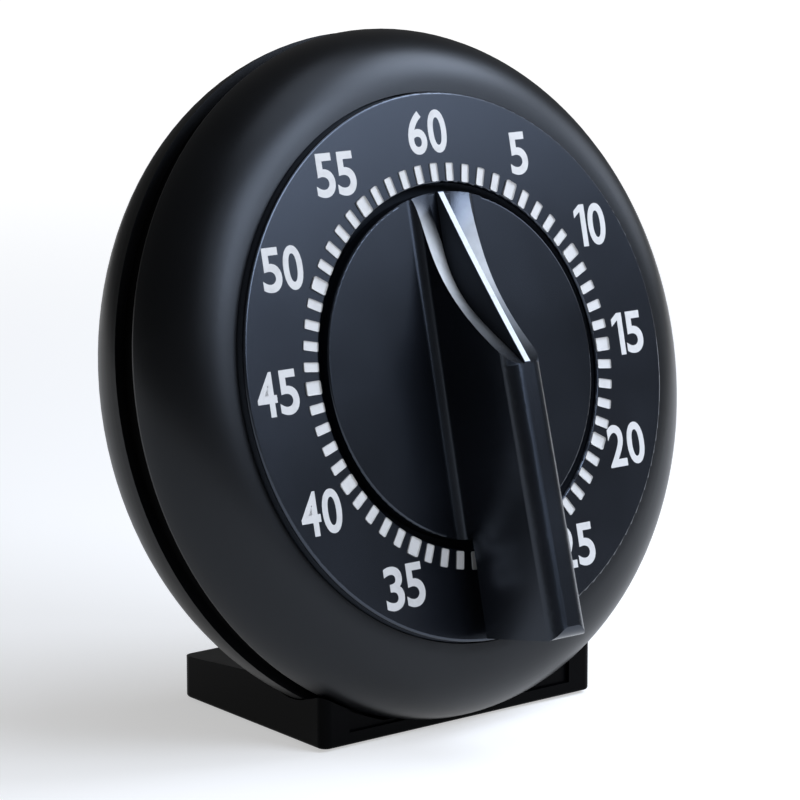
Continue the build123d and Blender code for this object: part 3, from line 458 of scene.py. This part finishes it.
@dataclass(frozen=True)
class KnobFinish(PlasticFinish):
    """Plastic of the winding knob, with a pale painted highlight in the two scoops of its pointer.

    Args:
        painted_highlight: colour of the painted highlight where it is strongest.
        faint_share: share of that colour where the painted highlight is faintest.
        highlight_clouds: pattern of the painted highlight's strength.
        cover: strength of the painted highlight at slopes of the scoop's floor, as pairs of slope and
            share.
        rib_half: half width of the bare rib between the scoops.
        scoop_half: half width of the two scoops together.
        scoop_reach: lowest and highest place of the scoops up the dial.
        feather: width over which the painted highlight and the dull flanks fade out at an edge.
        tail: length over which the painted highlight fades out towards the grip's ridge.
        head: length over which it fades out towards the knob's rim.
        flank_half: half width of the rib with its flanks, which are left dull.
        flank_turn: sideways share of a face's direction where a flank starts and where it is full.
        dull: roughness of the flanks.
    """

    # Pale colour of the painted highlight in the scoops
    painted_highlight: Shade = Shade(224, 225, 225)
    faint_share: float = 0.88
    highlight_clouds: Noise = Noise(700.0, 3.0)
    cover: tuple[tuple[float, float], ...] = (
        (0.05, 0.0),
        (0.13, 0.4),
        (0.24, 0.95),
        (0.38, 1.0),
        (0.5, 0.6),
        (0.62, 0.2),
        (0.9, 0.07),
    )
    rib_half: float = 0.55 * MM
    scoop_half: float = 5.7 * MM
    scoop_reach: tuple[float, float] = (-0.9 * MM, 21.3 * MM)
    feather: float = 0.3 * MM
    tail: float = 6.0 * MM
    head: float = 5.0 * MM
    flank_half: float = 2.4 * MM
    flank_turn: tuple[float, float] = (0.2, 0.5)
    dull: float = 0.9

    def flank_share(self, tree: bpy.types.NodeTree, case: CaseFrame) -> bpy.types.NodeSocket:
        """Find the dull flanks of the rib, which face away from its middle.

        Args:
            tree: the node tree to add the pattern to.
            case: frame of the leaning case.

        Returns:
            The socket that is one on a flank.
        """
        offset = add_offset(tree, case.centre())
        side = add_dot(tree, offset, (1, 0, 0))
        along = add_dot(tree, offset, case.upwards())
        place = tree.nodes.new("ShaderNodeTexCoord")
        facing = add_dot(tree, place.outputs["Normal"], (1, 0, 0))
        away = add_math(tree, "MULTIPLY", facing, add_math(tree, "SIGN", side))
        low, high = self.scoop_reach
        limits = (
            (add_math(tree, "ABSOLUTE", side), self.flank_half + self.feather, self.flank_half),
            (along, low, low + self.feather),
            (along, high + self.feather, high),
        )
        return add_limits(tree, add_fade(tree, away, *self.flank_turn), limits)

    def painted_highlight_share(self, tree: bpy.types.NodeTree, case: CaseFrame) -> bpy.types.NodeSocket:
        """Find the strength of the painted highlight at each point of the knob.

        Args:
            tree: the node tree to add the pattern to.
            case: frame of the leaning case.

        Returns:
            The socket that is one where the painted highlight is strongest.
        """
        offset = add_offset(tree, case.centre())
        across = add_math(tree, "ABSOLUTE", add_dot(tree, offset, (1, 0, 0)))
        along = add_dot(tree, offset, case.upwards())
        place = tree.nodes.new("ShaderNodeTexCoord")
        slope = add_dot(tree, place.outputs["Normal"], case.upwards())
        # Strength of the painted highlight by the slope of the scoop's floor
        cover = tree.nodes.new("ShaderNodeValToRGB")
        stops = cover.color_ramp.elements
        ready = len(stops)
        for number, (position, share) in enumerate(self.cover):
            stop = stops[number] if number < ready else stops.new(position)
            stop.position = position
            stop.color = (share, share, share, 1)
        tree.links.new(slope, cover.inputs["Fac"])
        low, high = self.scoop_reach
        limits = (
            (across, self.rib_half, self.rib_half + self.feather),
            (across, self.scoop_half + self.feather, self.scoop_half),
            (along, low, low + self.tail),
            (along, high + self.feather, high - self.head),
        )
        return add_limits(tree, cover.outputs["Color"], limits)

    def build(self) -> bpy.types.Material:
        """Build the plastic with its painted highlight and its dull flanks.

        Returns:
            The finished material.
        """
        material = super().build()
        tree = material.node_tree
        # Painted highlight: a pale colour blended into the scoops by the slope of their floor, in
        # place of the lamps' reflection
        clouds = self.highlight_clouds.add(tree)
        highlight_colour = add_ramp(tree, clouds, self.painted_highlight.linear(self.faint_share), self.painted_highlight.linear())
        blend_into(tree, "Base Color", self.painted_highlight_share(tree, CaseFrame()), highlight_colour)
        grey = (self.dull, self.dull, self.dull, 1)
        blend_into(tree, "Roughness", self.flank_share(tree, CaseFrame()), grey)
        return material


@dataclass(frozen=True)
class DialFinish(PlasticFinish):
    """Plastic of the dial, left dull in the well round the knob and along the outer edge, with
    painted shade there.

    Args:
        dull: roughness in the well and along the edge.
        depths: depths below the dial's face between which the plastic turns dull and takes the
            painted shade.
        rims: distances from the dial's centre between which it turns dull and takes the painted
            shade.
        shadow: colour of the painted shade in the well and along the edge.
    """

    dull: float = 0.95
    depths: tuple[float, float] = (0.25 * MM, 0.7 * MM)
    rims: tuple[float, float] = (37.45 * MM, 37.75 * MM)
    # Near-black colour of the painted shade in the well and along the edge
    shadow: Shade = Shade(2, 2, 3)

    def build(self) -> bpy.types.Material:
        """Build the plastic with its dull well and edge and their painted shade.

        Returns:
            The finished material.
        """
        material = super().build()
        tree = material.node_tree
        offset = add_offset(tree, CaseFrame().centre())
        height = add_dot(tree, offset, CaseFrame().outwards())
        well = add_fade(tree, height, -self.depths[0], -self.depths[1])
        edge = add_fade(tree, add_length(tree, offset), *self.rims)
        painted_shade = add_math(tree, "MAXIMUM", well, edge)
        blend_into(tree, "Roughness", painted_shade, (self.dull, self.dull, self.dull, 1))
        # Painted shade: the well and the outer edge take a near-black colour where shade falls
        blend_into(tree, "Base Color", painted_shade, self.shadow.linear())
        return material


@dataclass(frozen=True)
class MetalFinish:
    """Rolled, turned or plated metal with fine drawn lines.

    Args:
        name: the material's name.
        shade: colour of the metal.
        roughness: lowest and highest roughness.
        grain: distance between the drawn lines in metres.
        stretch: scale of the pattern along each axis.
        depth: height of the lines in metres.
        relief: strength of the lines.
        stains: pattern of the colour.
        stain_shares: lowest and highest share of the colour.
    """

    name: str
    shade: Shade
    roughness: tuple[float, float] = (0.25, 0.4)
    grain: float = 0.4 * MM
    stretch: tuple[float, float, float] = (0.15, 1.0, 1.0)
    depth: float = 0.003 * MM
    relief: float = 0.5
    stains: Noise = Noise(180.0, 3.0)
    stain_shares: tuple[float, float] = (0.86, 1.08)

    def build(self) -> bpy.types.Material:
        """Build the metal.

        Returns:
            The finished material.
        """
        material, tree, shader = new_material(self.name)
        shader.inputs["Metallic"].default_value = 1.0
        deep, pale = (self.shade.linear(share) for share in self.stain_shares)
        colour = add_ramp(tree, self.stains.add(tree), deep, pale)
        tree.links.new(colour, shader.inputs["Base Color"])
        lines = Noise(1 / self.grain, stretch=self.stretch).add(tree)
        tree.links.new(add_range(tree, lines, *self.roughness), shader.inputs["Roughness"])
        add_bump(tree, shader, lines, self.depth, self.relief)
        return material


@dataclass(frozen=True)
class RubberFinish:
    """Dull sheet rubber with a coarse grain.

    Args:
        name: the material's name.
        shade: colour of the rubber.
        roughness: its roughness.
        gloss: strength of its reflection.
        clouds: pattern of the colour.
        cloud_shares: lowest and highest share of the colour.
        grain: pattern of the grain.
        depth: height of the grain in metres.
        relief: strength of the grain.
    """

    name: str
    shade: Shade
    roughness: float = 0.85
    gloss: float = 0.25
    clouds: Noise = Noise(200.0, 4.0)
    cloud_shares: tuple[float, float] = (0.8, 1.3)
    grain: Noise = Noise(1600.0, 3.0)
    depth: float = 0.04 * MM
    relief: float = 0.7

    def build(self) -> bpy.types.Material:
        """Build the rubber.

        Returns:
            The finished material.
        """
        material, tree, shader = new_material(self.name)
        shader.inputs["Roughness"].default_value = self.roughness
        shader.inputs["Specular IOR Level"].default_value = self.gloss
        deep, pale = (self.shade.linear(share) for share in self.cloud_shares)
        colour = add_ramp(tree, self.clouds.add(tree), deep, pale)
        tree.links.new(colour, shader.inputs["Base Color"])
        add_bump(tree, shader, self.grain.add(tree), self.depth, self.relief)
        return material


@dataclass(frozen=True)
class InkFinish:
    """Printed ink with slightly uneven cover.

    Args:
        name: the material's name.
        shade: colour of the ink.
        thin: colour where the ink is thinnest.
        roughness: its roughness.
        gloss: strength of its reflection.
        clouds: pattern of its cover.
        cover_span: values of that pattern between which the ink turns from thin to full.
        grain: pattern of its grain.
        depth: height of the grain in metres.
        relief: strength of the grain.
    """

    name: str
    shade: Shade
    thin: Shade
    roughness: float = 0.75
    gloss: float = 0.1
    clouds: Noise = Noise(900.0, 4.0)
    cover_span: tuple[float, float] = (0.3, 0.5)
    grain: Noise = Noise(4000.0)
    depth: float = 0.003 * MM
    relief: float = 0.5

    def build(self) -> bpy.types.Material:
        """Build the ink.

        Returns:
            The finished material.
        """
        material, tree, shader = new_material(self.name)
        shader.inputs["Roughness"].default_value = self.roughness
        shader.inputs["Specular IOR Level"].default_value = self.gloss
        clouds = self.clouds.add(tree)
        colour = add_ramp(tree, clouds, self.thin.linear(), self.shade.linear(), *self.cover_span)
        tree.links.new(colour, shader.inputs["Base Color"])
        add_bump(tree, shader, self.grain.add(tree), self.depth, self.relief)
        return material


def select_only(piece: bpy.types.Object) -> None:
    """Select one object and make it the active one.

    Args:
        piece: the object.
    """
    bpy.ops.object.select_all(action="DESELECT")
    piece.select_set(True)
    bpy.context.view_layer.objects.active = piece


def settle(piece: bpy.types.Object, place: Matrix) -> None:
    """Move a finished piece into place and leave its object at the origin.

    Args:
        piece: the finished piece.
        place: matrix from the piece's own frame to the model's frame.
    """
    piece.matrix_world = place @ piece.matrix_world
    select_only(piece)
    bpy.ops.object.transform_apply(location=True, rotation=True, scale=True)


def pick_edges(piece: bpy.types.Object, wanted: Callable[[Vector, Vector], bool]) -> None:
    """Select some edges of the active piece and leave it in edit mode.

    Args:
        piece: the piece, in object mode.
        wanted: test of an edge's two ends.
    """
    bpy.ops.object.mode_set(mode="EDIT")
    bpy.ops.mesh.select_mode(type="EDGE")
    bpy.ops.mesh.select_all(action="DESELECT")
    bpy.ops.object.mode_set(mode="OBJECT")
    for edge in piece.data.edges:
        first, second = (piece.data.vertices[index].co for index in edge.vertices)
        edge.select = wanted(first, second)
    bpy.ops.object.mode_set(mode="EDIT")


def join(parts: list[bpy.types.Object], name: str) -> bpy.types.Object:
    """Join several objects into one piece.

    Args:
        parts: the objects to join.
        name: name of the piece.

    Returns:
        The joined piece.
    """
    bpy.ops.object.select_all(action="DESELECT")
    for part in parts:
        part.select_set(True)
    bpy.context.view_layer.objects.active = parts[0]
    bpy.ops.object.join()
    piece = bpy.context.view_layer.objects.active
    piece.name = name
    return piece


def dress(piece: bpy.types.Object, material: bpy.types.Material) -> None:
    """Give a piece its one material.

    Args:
        piece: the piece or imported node.
        material: the material.
    """
    piece.data.materials.clear()
    piece.data.materials.append(material)


@dataclass
class DialPrint:
    """Printed minute marks and numbers of the dial.

    Args:
        case: frame of the leaning case.
        ink: finish of the print.
        mark_radius: radius of the middle of the marks.
        mark_length: length of a mark.
        mark_width: width of a minute mark.
        five_width: width of a five-minute mark.
        edge_share: softening of a mark's edges, as a share of its width.
        edge_steps: straight runs in such a softening.
        minutes: minute marks in one turn.
        minutes_per_number: minutes from one number to the next.
        ink_thickness: thickness of the ink.
        digit_height: height of a digit.
        digit_width: width of a digit.
        digit_gap: gap between two digits.
        letter_weight: weight added to a digit's strokes, in digits of height one.
        curve_steps: straight runs in a curve of a digit.
        stem_width: width of the stem of the digit one.
        flag_reach: reach of that digit's flag.
        flag_drop: share of the digit's height by which the flag slopes down.
        flag_heights: shares of the height at the flag's lower and upper root, and at the top.
        merge_reach: distance within which points of a digit are merged.
        centres: centre of each number on the dial, in millimetres.
    """

    case: CaseFrame
    ink: InkFinish
    mark_radius: float = 24.08 * MM
    mark_length: float = 2.25 * MM
    mark_width: float = 1.15 * MM
    five_width: float = 1.68 * MM
    edge_share: float = 1 / 7
    edge_steps: int = 2
    minutes: int = 60
    minutes_per_number: int = 5
    ink_thickness: float = 0.03 * MM
    digit_height: float = 5.4 * MM
    digit_width: float = 3.0 * MM
    digit_gap: float = 0.35 * MM
    letter_weight: float = 0.02
    curve_steps: int = 6
    stem_width: float = 0.86 * MM
    flag_reach: float = 1.04 * MM
    flag_drop: float = 0.14
    flag_heights: tuple[float, float, float] = (0.7, 0.83, 1.0)
    merge_reach: float = 0.002 * MM
    centres: dict[str, tuple[float, float]] = field(
        default_factory=lambda: {
            "60": (-0.15, 29.1),
            "5": (14.5, 25.3),
            "10": (25.1, 15.3),
            "15": (28.9, 0.95),
            "20": (25.8, -13.1),
            "25": (14.6, -24.6),
            "30": (0.8, -29.0),
            "35": (-14.4, -25.4),
            "40": (-25.6, -14.8),
            "45": (-29.55, 0.0),
            "50": (-26.1, 14.6),
            "55": (-15.75, 25.1),
        }
    )

    def make_mark(self, width: float) -> bpy.types.Object:
        """Make one mark at twelve o'clock, with all its edges softened.

        Args:
            width: width of the mark.

        Returns:
            The mark.
        """
        bpy.ops.object.select_all(action="DESELECT")
        bpy.ops.mesh.primitive_cube_add(size=1, location=(0, self.mark_radius, 0))
        mark = bpy.context.object
        mark.scale = (width, self.mark_length, self.ink_thickness)
        select_only(mark)
        bpy.ops.object.transform_apply(location=True, rotation=True, scale=True)
        bpy.ops.object.mode_set(mode="EDIT")
        bpy.ops.mesh.select_all(action="SELECT")
        bpy.ops.mesh.bevel(offset=width * self.edge_share, segments=self.edge_steps)
        bpy.ops.object.mode_set(mode="OBJECT")
        return mark

    def copies(self, mark: bpy.types.Object, minutes: list[int]) -> list[bpy.types.Object]:
        """Copy a mark to each of its minutes.

        Args:
            mark: the mark at twelve o'clock.
            minutes: minutes that get a copy.

        Returns:
            The copies.
        """
        made = []
        for minute in minutes:
            copy = mark.copy()
            copy.data = mark.data.copy()
            bpy.context.collection.objects.link(copy)
            copy.matrix_world = Matrix.Rotation(-math.tau * minute / self.minutes, 4, "Z")
            select_only(copy)
            bpy.ops.object.transform_apply(location=True, rotation=True, scale=True)
            made.append(copy)
        bpy.data.objects.remove(mark, do_unlink=True)
        return made

    def make_digit(self, digit: str) -> bpy.types.Object:
        """Make one digit as a thin solid, its lower left corner at the origin.

        Args:
            digit: the digit.

        Returns:
            The digit, with its real height and width.
        """
        bpy.ops.object.select_all(action="DESELECT")
        bpy.ops.object.text_add(location=(0, 0, 0))
        glyph = bpy.context.object
        glyph.data.body = digit
        glyph.data.offset = self.letter_weight
        glyph.data.resolution_u = self.curve_steps
        bpy.ops.object.convert(target="MESH")
        glyph = bpy.context.object
        xs = [vertex.co.x for vertex in glyph.data.vertices]
        ys = [vertex.co.y for vertex in glyph.data.vertices]
        left, bottom = min(xs), min(ys)
        wide = self.digit_width / (max(xs) - left)
        high = self.digit_height / (max(ys) - bottom)
        for vertex in glyph.data.vertices:
            vertex.co = Vector(((vertex.co.x - left) * wide, (vertex.co.y - bottom) * high, 0))
        return self.thicken(glyph)

    def make_one(self) -> bpy.types.Object:
        """Make the digit one, a plain stem with a flag that slopes down to the left.

        Returns:
            The digit, its lower left corner at the origin.
        """
        bpy.ops.object.select_all(action="DESELECT")
        left, middle = self.flag_reach, self.flag_reach + self.stem_width / 2
        low, high, top = (self.digit_height * share for share in self.flag_heights)
        bpy.ops.mesh.primitive_plane_add(size=1, location=(middle, low / 2, 0))
        glyph = bpy.context.object
        glyph.scale = (self.stem_width, low, 1)
        bpy.ops.object.transform_apply(location=True, rotation=True, scale=True)
        pick_edges(glyph, lambda first, second: min(first.y, second.y) > low / 2)
        for rise in (high - low, top - high):
            bpy.ops.mesh.extrude_region_move(TRANSFORM_OT_translate={"value": (0, rise, 0)})
        bpy.ops.object.mode_set(mode="OBJECT")
        root = (low + high) / 2
        pick_edges(
            glyph,
            lambda first, second: max(first.x, second.x) < middle and min(first.y, second.y) > root,
        )
        slope = (-left, -self.digit_height * self.flag_drop, 0)
        bpy.ops.mesh.extrude_region_move(TRANSFORM_OT_translate={"value": slope})
        bpy.ops.object.mode_set(mode="OBJECT")
        return self.thicken(glyph)

    def thicken(self, glyph: bpy.types.Object) -> bpy.types.Object:
        """Give a flat digit the thickness of the ink.

        Args:
            glyph: the flat digit.

        Returns:
            The digit as a thin solid.
        """
        select_only(glyph)
        bpy.ops.object.mode_set(mode="EDIT")
        bpy.ops.mesh.select_all(action="SELECT")
        bpy.ops.mesh.remove_doubles(threshold=self.merge_reach)
        bpy.ops.mesh.normals_make_consistent(inside=False)
        bpy.ops.object.mode_set(mode="OBJECT")
        if glyph.data.polygons[0].normal.z < 0:
            bpy.ops.object.mode_set(mode="EDIT")
            bpy.ops.mesh.select_all(action="SELECT")
            bpy.ops.mesh.flip_normals()
            bpy.ops.object.mode_set(mode="OBJECT")
        wall = glyph.modifiers.new("ink", "SOLIDIFY")
        wall.thickness = self.ink_thickness
        wall.offset = 0
        bpy.ops.object.modifier_apply(modifier="ink")
        bpy.ops.object.shade_flat()
        return glyph

    def make_number(self, text: str, centre: tuple[float, float]) -> bpy.types.Object:
        """Set the digits of one number side by side, at its place on the dial.

        Args:
            text: the number.
            centre: its centre on the dial, in millimetres.

        Returns:
            The number as one object.
        """
        digits = [self.make_one() if digit == "1" else self.make_digit(digit) for digit in text]
        widths = [max(vertex.co.x for vertex in digit.data.vertices) for digit in digits]
        start = centre[0] * MM - (sum(widths) + self.digit_gap * (len(digits) - 1)) / 2
        bottom = centre[1] * MM - self.digit_height / 2
        for digit, width in zip(digits, widths):
            settle(digit, Matrix.Translation((start, bottom, 0)))
            start += width + self.digit_gap
        return join(digits, "number_" + text)

    def build(self) -> list[bpy.types.Object]:
        """Build the marks and the numbers and put them on the dial.

        Returns:
            The finished pieces.
        """
        fives = list(range(self.minutes_per_number, self.minutes, self.minutes_per_number))
        others = [minute for minute in range(self.minutes) if minute not in fives]
        thin_marks = self.copies(self.make_mark(self.mark_width), others)
        pieces = [join(thin_marks, "minute_marks")]
        wide_marks = self.copies(self.make_mark(self.five_width), fives)
        pieces.append(join(wide_marks, "five_minute_marks"))
        numbers = [self.make_number(text, centre) for text, centre in self.centres.items()]
        pieces.append(join(numbers, "dial_numbers"))
        ink = self.ink.build()
        for piece in pieces:
            settle(piece, self.case.matrix())
            dress(piece, ink)
            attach(piece, Body.CASE.value)
            log.info("built %s with %d faces", piece.name, len(piece.data.polygons))
        return pieces


@dataclass
class PointerLine:
    """White line along the crest of the knob's pointer rib, a painted pointer mark that also stands
    as a painted highlight on the crest.

    Args:
        case: frame of the leaning case.
        ink: finish of the paint.
        rim: distance up the dial and height of the line's outer end.
        corner: the same of its end at the grip's ridge.
        sag: depth by which the crest hangs below a straight line.
        width: width of the line.
        paint: thickness of the paint.
        steps: straight runs along the line.
    """

    case: CaseFrame
    ink: InkFinish
    rim: tuple[float, float] = (21.5 * MM, 0.754 * MM)
    corner: tuple[float, float] = (-0.55 * MM, 11.925 * MM)
    sag: float = 0.2 * MM
    width: float = 0.84 * MM
    paint: float = 0.03 * MM
    steps: int = 24

    def build(self) -> bpy.types.Object:
        """Build the line and lay it on the rib.

        Returns:
            The finished piece.
        """
        bpy.ops.object.select_all(action="DESELECT")
        bpy.ops.mesh.primitive_plane_add(size=1, location=(0, 0, 0))
        line = bpy.context.object
        line.name = "pointer_line"
        line.scale = (self.width, 1, 1)
        bpy.ops.object.transform_apply(location=True, rotation=True, scale=True)
        pick_edges(line, lambda first, second: abs(first.x - second.x) < self.width / 2)
        bpy.ops.mesh.subdivide(number_cuts=self.steps - 1)
        bpy.ops.mesh.select_all(action="SELECT")
        bpy.ops.mesh.normals_make_consistent(inside=False)
        bpy.ops.object.mode_set(mode="OBJECT")
        run, rise = self.corner[0] - self.rim[0], self.corner[1] - self.rim[1]
        length = math.hypot(run, rise)
        for vertex in line.data.vertices:
            share = 0.5 - vertex.co.y
            drop = self.sag * 4 * share * (1 - share)
            vertex.co.y = self.rim[0] + run * share - drop * rise / length
            vertex.co.z = self.rim[1] + rise * share + drop * run / length
        wall = line.modifiers.new("paint", "SOLIDIFY")
        wall.thickness = self.paint
        wall.offset = 0
        bpy.ops.object.modifier_apply(modifier="paint")
        settle(line, self.case.matrix())
        dress(line, self.ink.build())
        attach(line, Body.KNOB.value)
        log.info("built %s with %d faces", line.name, len(line.data.polygons))
        return line


@dataclass(frozen=True)
class Softbox:
    """One soft rectangular lamp.

    Args:
        name: the lamp's name.
        place: its place.
        size: its width and height.
        power: its power in watts.
        shade: its colour.
        aim: the point that it faces.
    """

    name: str
    place: tuple[float, float, float]
    size: tuple[float, float]
    power: float
    shade: Shade
    aim: tuple[float, float, float] = (0, 0, 0.045)

    def hang(self) -> None:
        """Hang the lamp."""
        facing = Vector(self.place) - Vector(self.aim)
        turn = facing.to_track_quat("Z", "Y").to_euler()
        bpy.ops.object.light_add(type="AREA", location=self.place, rotation=turn)
        lamp = bpy.context.object
        lamp.name = self.name
        lamp.data.shape = "RECTANGLE"
        lamp.data.size, lamp.data.size_y = self.size
        lamp.data.energy = self.power
        lamp.data.color = self.shade.linear()[:3]


@dataclass(frozen=True)
class Studio:
    """Camera, floor and soft lights of the picture.

    Args:
        camera_place: place of the camera.
        camera_turn: turn of the camera about x, y and z, in degrees.
        lens: focal length in millimetres.
        sensor: width of the camera's sensor in millimetres.
        near: distance from which the camera sees.
        floor_size: side of the floor.
        floor_shade: colour of the floor.
        floor_roughness: roughness of the floor.
        floor_glow: share of white that the floor shows of itself, near the timer and far from it.
        glow_reach: distances between which that share grows.
        room_light: strength of the room's even light.
        lamps: the soft lamps.
    """

    camera_place: tuple[float, float, float] = (-0.3190, -0.36545, 0.1275)
    camera_turn: tuple[float, float, float] = (79.645, 0, -41.476)
    lens: float = 175.1
    sensor: float = 36.0
    near: float = 0.01
    floor_size: float = 6.0
    floor_shade: Shade = Shade(214, 212, 209)
    floor_roughness: float = 0.9
    floor_glow: tuple[float, float] = (0.5, 1.0)
    glow_reach: tuple[float, float] = (0.12, 0.8)
    room_light: float = 0.1
    lamps: tuple[Softbox, ...] = (
        Softbox("wide_softbox", (0.307, -0.286, 0.317), (0.75, 0.34), 1.55, Shade(224, 236, 255)),
        Softbox("core_softbox", (0.315, -0.155, 0.392), (0.24, 0.18), 1.05, Shade(224, 236, 255)),
        Softbox("front_softbox", (0.150, -0.385, 0.300), (0.26, 0.20), 1.05, Shade(224, 236, 255)),
        Softbox("left_softbox", (-0.060, -0.429, 0.384), (0.24, 0.28), 0.24, Shade(231, 240, 255)),
        Softbox("top_softbox", (0.110, -0.130, 0.508), (0.34, 0.22), 0.4, Shade(231, 240, 255)),
        Softbox("right_softbox", (0.490, -0.050, 0.165), (0.22, 0.13), 0.12, Shade(231, 240, 255)),
    )

    def add_camera(self) -> None:
        """Put the camera where the photograph was taken from."""
        turn = [math.radians(angle) for angle in self.camera_turn]
        bpy.ops.object.camera_add(location=self.camera_place, rotation=turn)
        camera = bpy.context.object
        camera.data.lens = self.lens
        camera.data.sensor_width = self.sensor
        camera.data.clip_start = self.near
        bpy.context.scene.camera = camera

    def add_floor(self) -> None:
        """Lay a pale floor that shows white and keeps the timer's shadow."""
        bpy.ops.mesh.primitive_plane_add(size=self.floor_size, location=(0, 0, 0))
        floor = bpy.context.object
        floor.name = "floor"
        material, tree, shader = new_material("pale_floor")
        shader.inputs["Base Color"].default_value = self.floor_shade.linear()
        shader.inputs["Roughness"].default_value = self.floor_roughness
        shader.inputs["Specular IOR Level"].default_value = 0.0
        place = tree.nodes.new("ShaderNodeTexCoord")
        distance = add_length(tree, place.outputs["Object"])
        spread = add_fade(tree, distance, *self.glow_reach, self.floor_glow)
        glow = add_math(tree, "MULTIPLY", self.seen_rays(tree), spread)
        shader.inputs["Emission Color"].default_value = (1, 1, 1, 1)
        tree.links.new(glow, shader.inputs["Emission Strength"])
        dress(floor, material)

    def seen_rays(self, tree: bpy.types.NodeTree) -> bpy.types.NodeSocket:
        """Tell the camera's rays, and the rays of gloss and glass, from all others.

        Args:
            tree: the node tree to add the test to.

        Returns:
            The socket that is one for those rays.
        """
        path = tree.nodes.new("ShaderNodeLightPath")
        seen = add_math(tree, "MAXIMUM", path.outputs["Is Camera Ray"], path.outputs["Is Glossy Ray"])
        return add_math(tree, "MAXIMUM", seen, path.outputs["Is Transmission Ray"])

    def light_room(self) -> None:
        """Fill the room with an even, pale light."""
        world = bpy.data.worlds.new("studio_room")
        bpy.context.scene.world = world
        world.use_nodes = True
        shade = world.node_tree.nodes["Background"]
        shade.inputs["Color"].default_value = (1, 1, 1, 1)
        shade.inputs["Strength"].default_value = self.room_light

    def build(self) -> None:
        """Set up the whole studio."""
        bpy.context.scene.view_settings.view_transform = "Standard"
        bpy.ops.object.select_all(action="DESELECT")
        self.add_camera()
        self.add_floor()
        self.light_room()
        for lamp in self.lamps:
            lamp.hang()
        log.info("studio ready with %d lamps", len(self.lamps))


def dress_nodes() -> None:
    """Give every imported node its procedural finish."""
    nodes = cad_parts
    finishes = {
        "front_shell": PlasticFinish(
            "case_satin", Shade(9, 9, 10), Shade(238, 245, 255), 0.33, (0.31, 0.36)
        ),
        "rear_cover": PlasticFinish(
            "cover_satin", Shade(9, 9, 10), Shade(245, 249, 255), 0.22, (0.36, 0.42)
        ),
        "waist_ring": PlasticFinish("band_matt", Shade(4, 4, 4), gloss=0.05, roughness=(0.6, 0.7)),
        "foot": PlasticFinish("foot_gloss", Shade(3, 3, 4), gloss=0.03, roughness=(0.28, 0.36)),
        "dial_plate": DialFinish(
            "dial_satin", Shade(8, 9, 13), Shade(218, 232, 255), 0.86, (0.21, 0.25)
        ),
        "knob": KnobFinish(
            "knob_satin", Shade(6, 7, 10), Shade(218, 232, 255), 0.72, (0.2, 0.25)
        ),
        "rubber_sole": RubberFinish("sole_rubber", Shade(34, 34, 34)),
        "bell": MetalFinish("nickel_bell", Shade(206, 203, 196), (0.12, 0.22)),
    }
    screws = MetalFinish("zinc_screw", Shade(190, 192, 196))
    plate = MetalFinish("rolled_plate", Shade(196, 196, 192), stretch=(1.0, 0.12, 1.0))
    turned = MetalFinish("turned_steel", Shade(186, 187, 190), (0.18, 0.3), stretch=(1.0, 1.0, 0.2))
    spring = MetalFinish("blued_spring", Shade(92, 104, 130), (0.22, 0.34))
    brass = MetalFinish("stamped_brass", Shade(214, 176, 98), (0.2, 0.34))
    screw_nodes = [name for name in nodes if "_screw" in name]
    for finish, names in (
        (screws, screw_nodes),
        (plate, ("movement_front_plate", "movement_back_plate")),
        (spring, ("mainspring", "hammer_spring")),
        (brass, ("main_wheel", "second_wheel", "third_wheel", "escape_wheel", "pallet_lever")),
    ):
        finishes.update(dict.fromkeys(names, finish))
    built = {}
    for name, node in nodes.items():
        finish = finishes.get(name, turned)
        if finish not in built:
            built[finish] = finish.build()
        dress(node, built[finish])
    log.info("dressed %d packed nodes", len(nodes))


def main() -> None:
    """Build the studio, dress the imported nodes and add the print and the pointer's line."""
    logging.basicConfig(level=logging.INFO)
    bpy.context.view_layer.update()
    case = CaseFrame()
    Studio().build()
    dress_nodes()
    dial_ink = InkFinish("dial_ink", Shade(216, 213, 209), Shade(208, 205, 201))
    # White of the pointer mark, which also serves as a painted highlight on the rib's crest
    pointer_mark_and_highlight_ink = InkFinish("pointer_mark_and_highlight_ink", Shade(228, 230, 233), Shade(216, 218, 221))
    DialPrint(case, dial_ink).build()
    PointerLine(case, pointer_mark_and_highlight_ink).build()


if __name__ == "__main__":
    main()
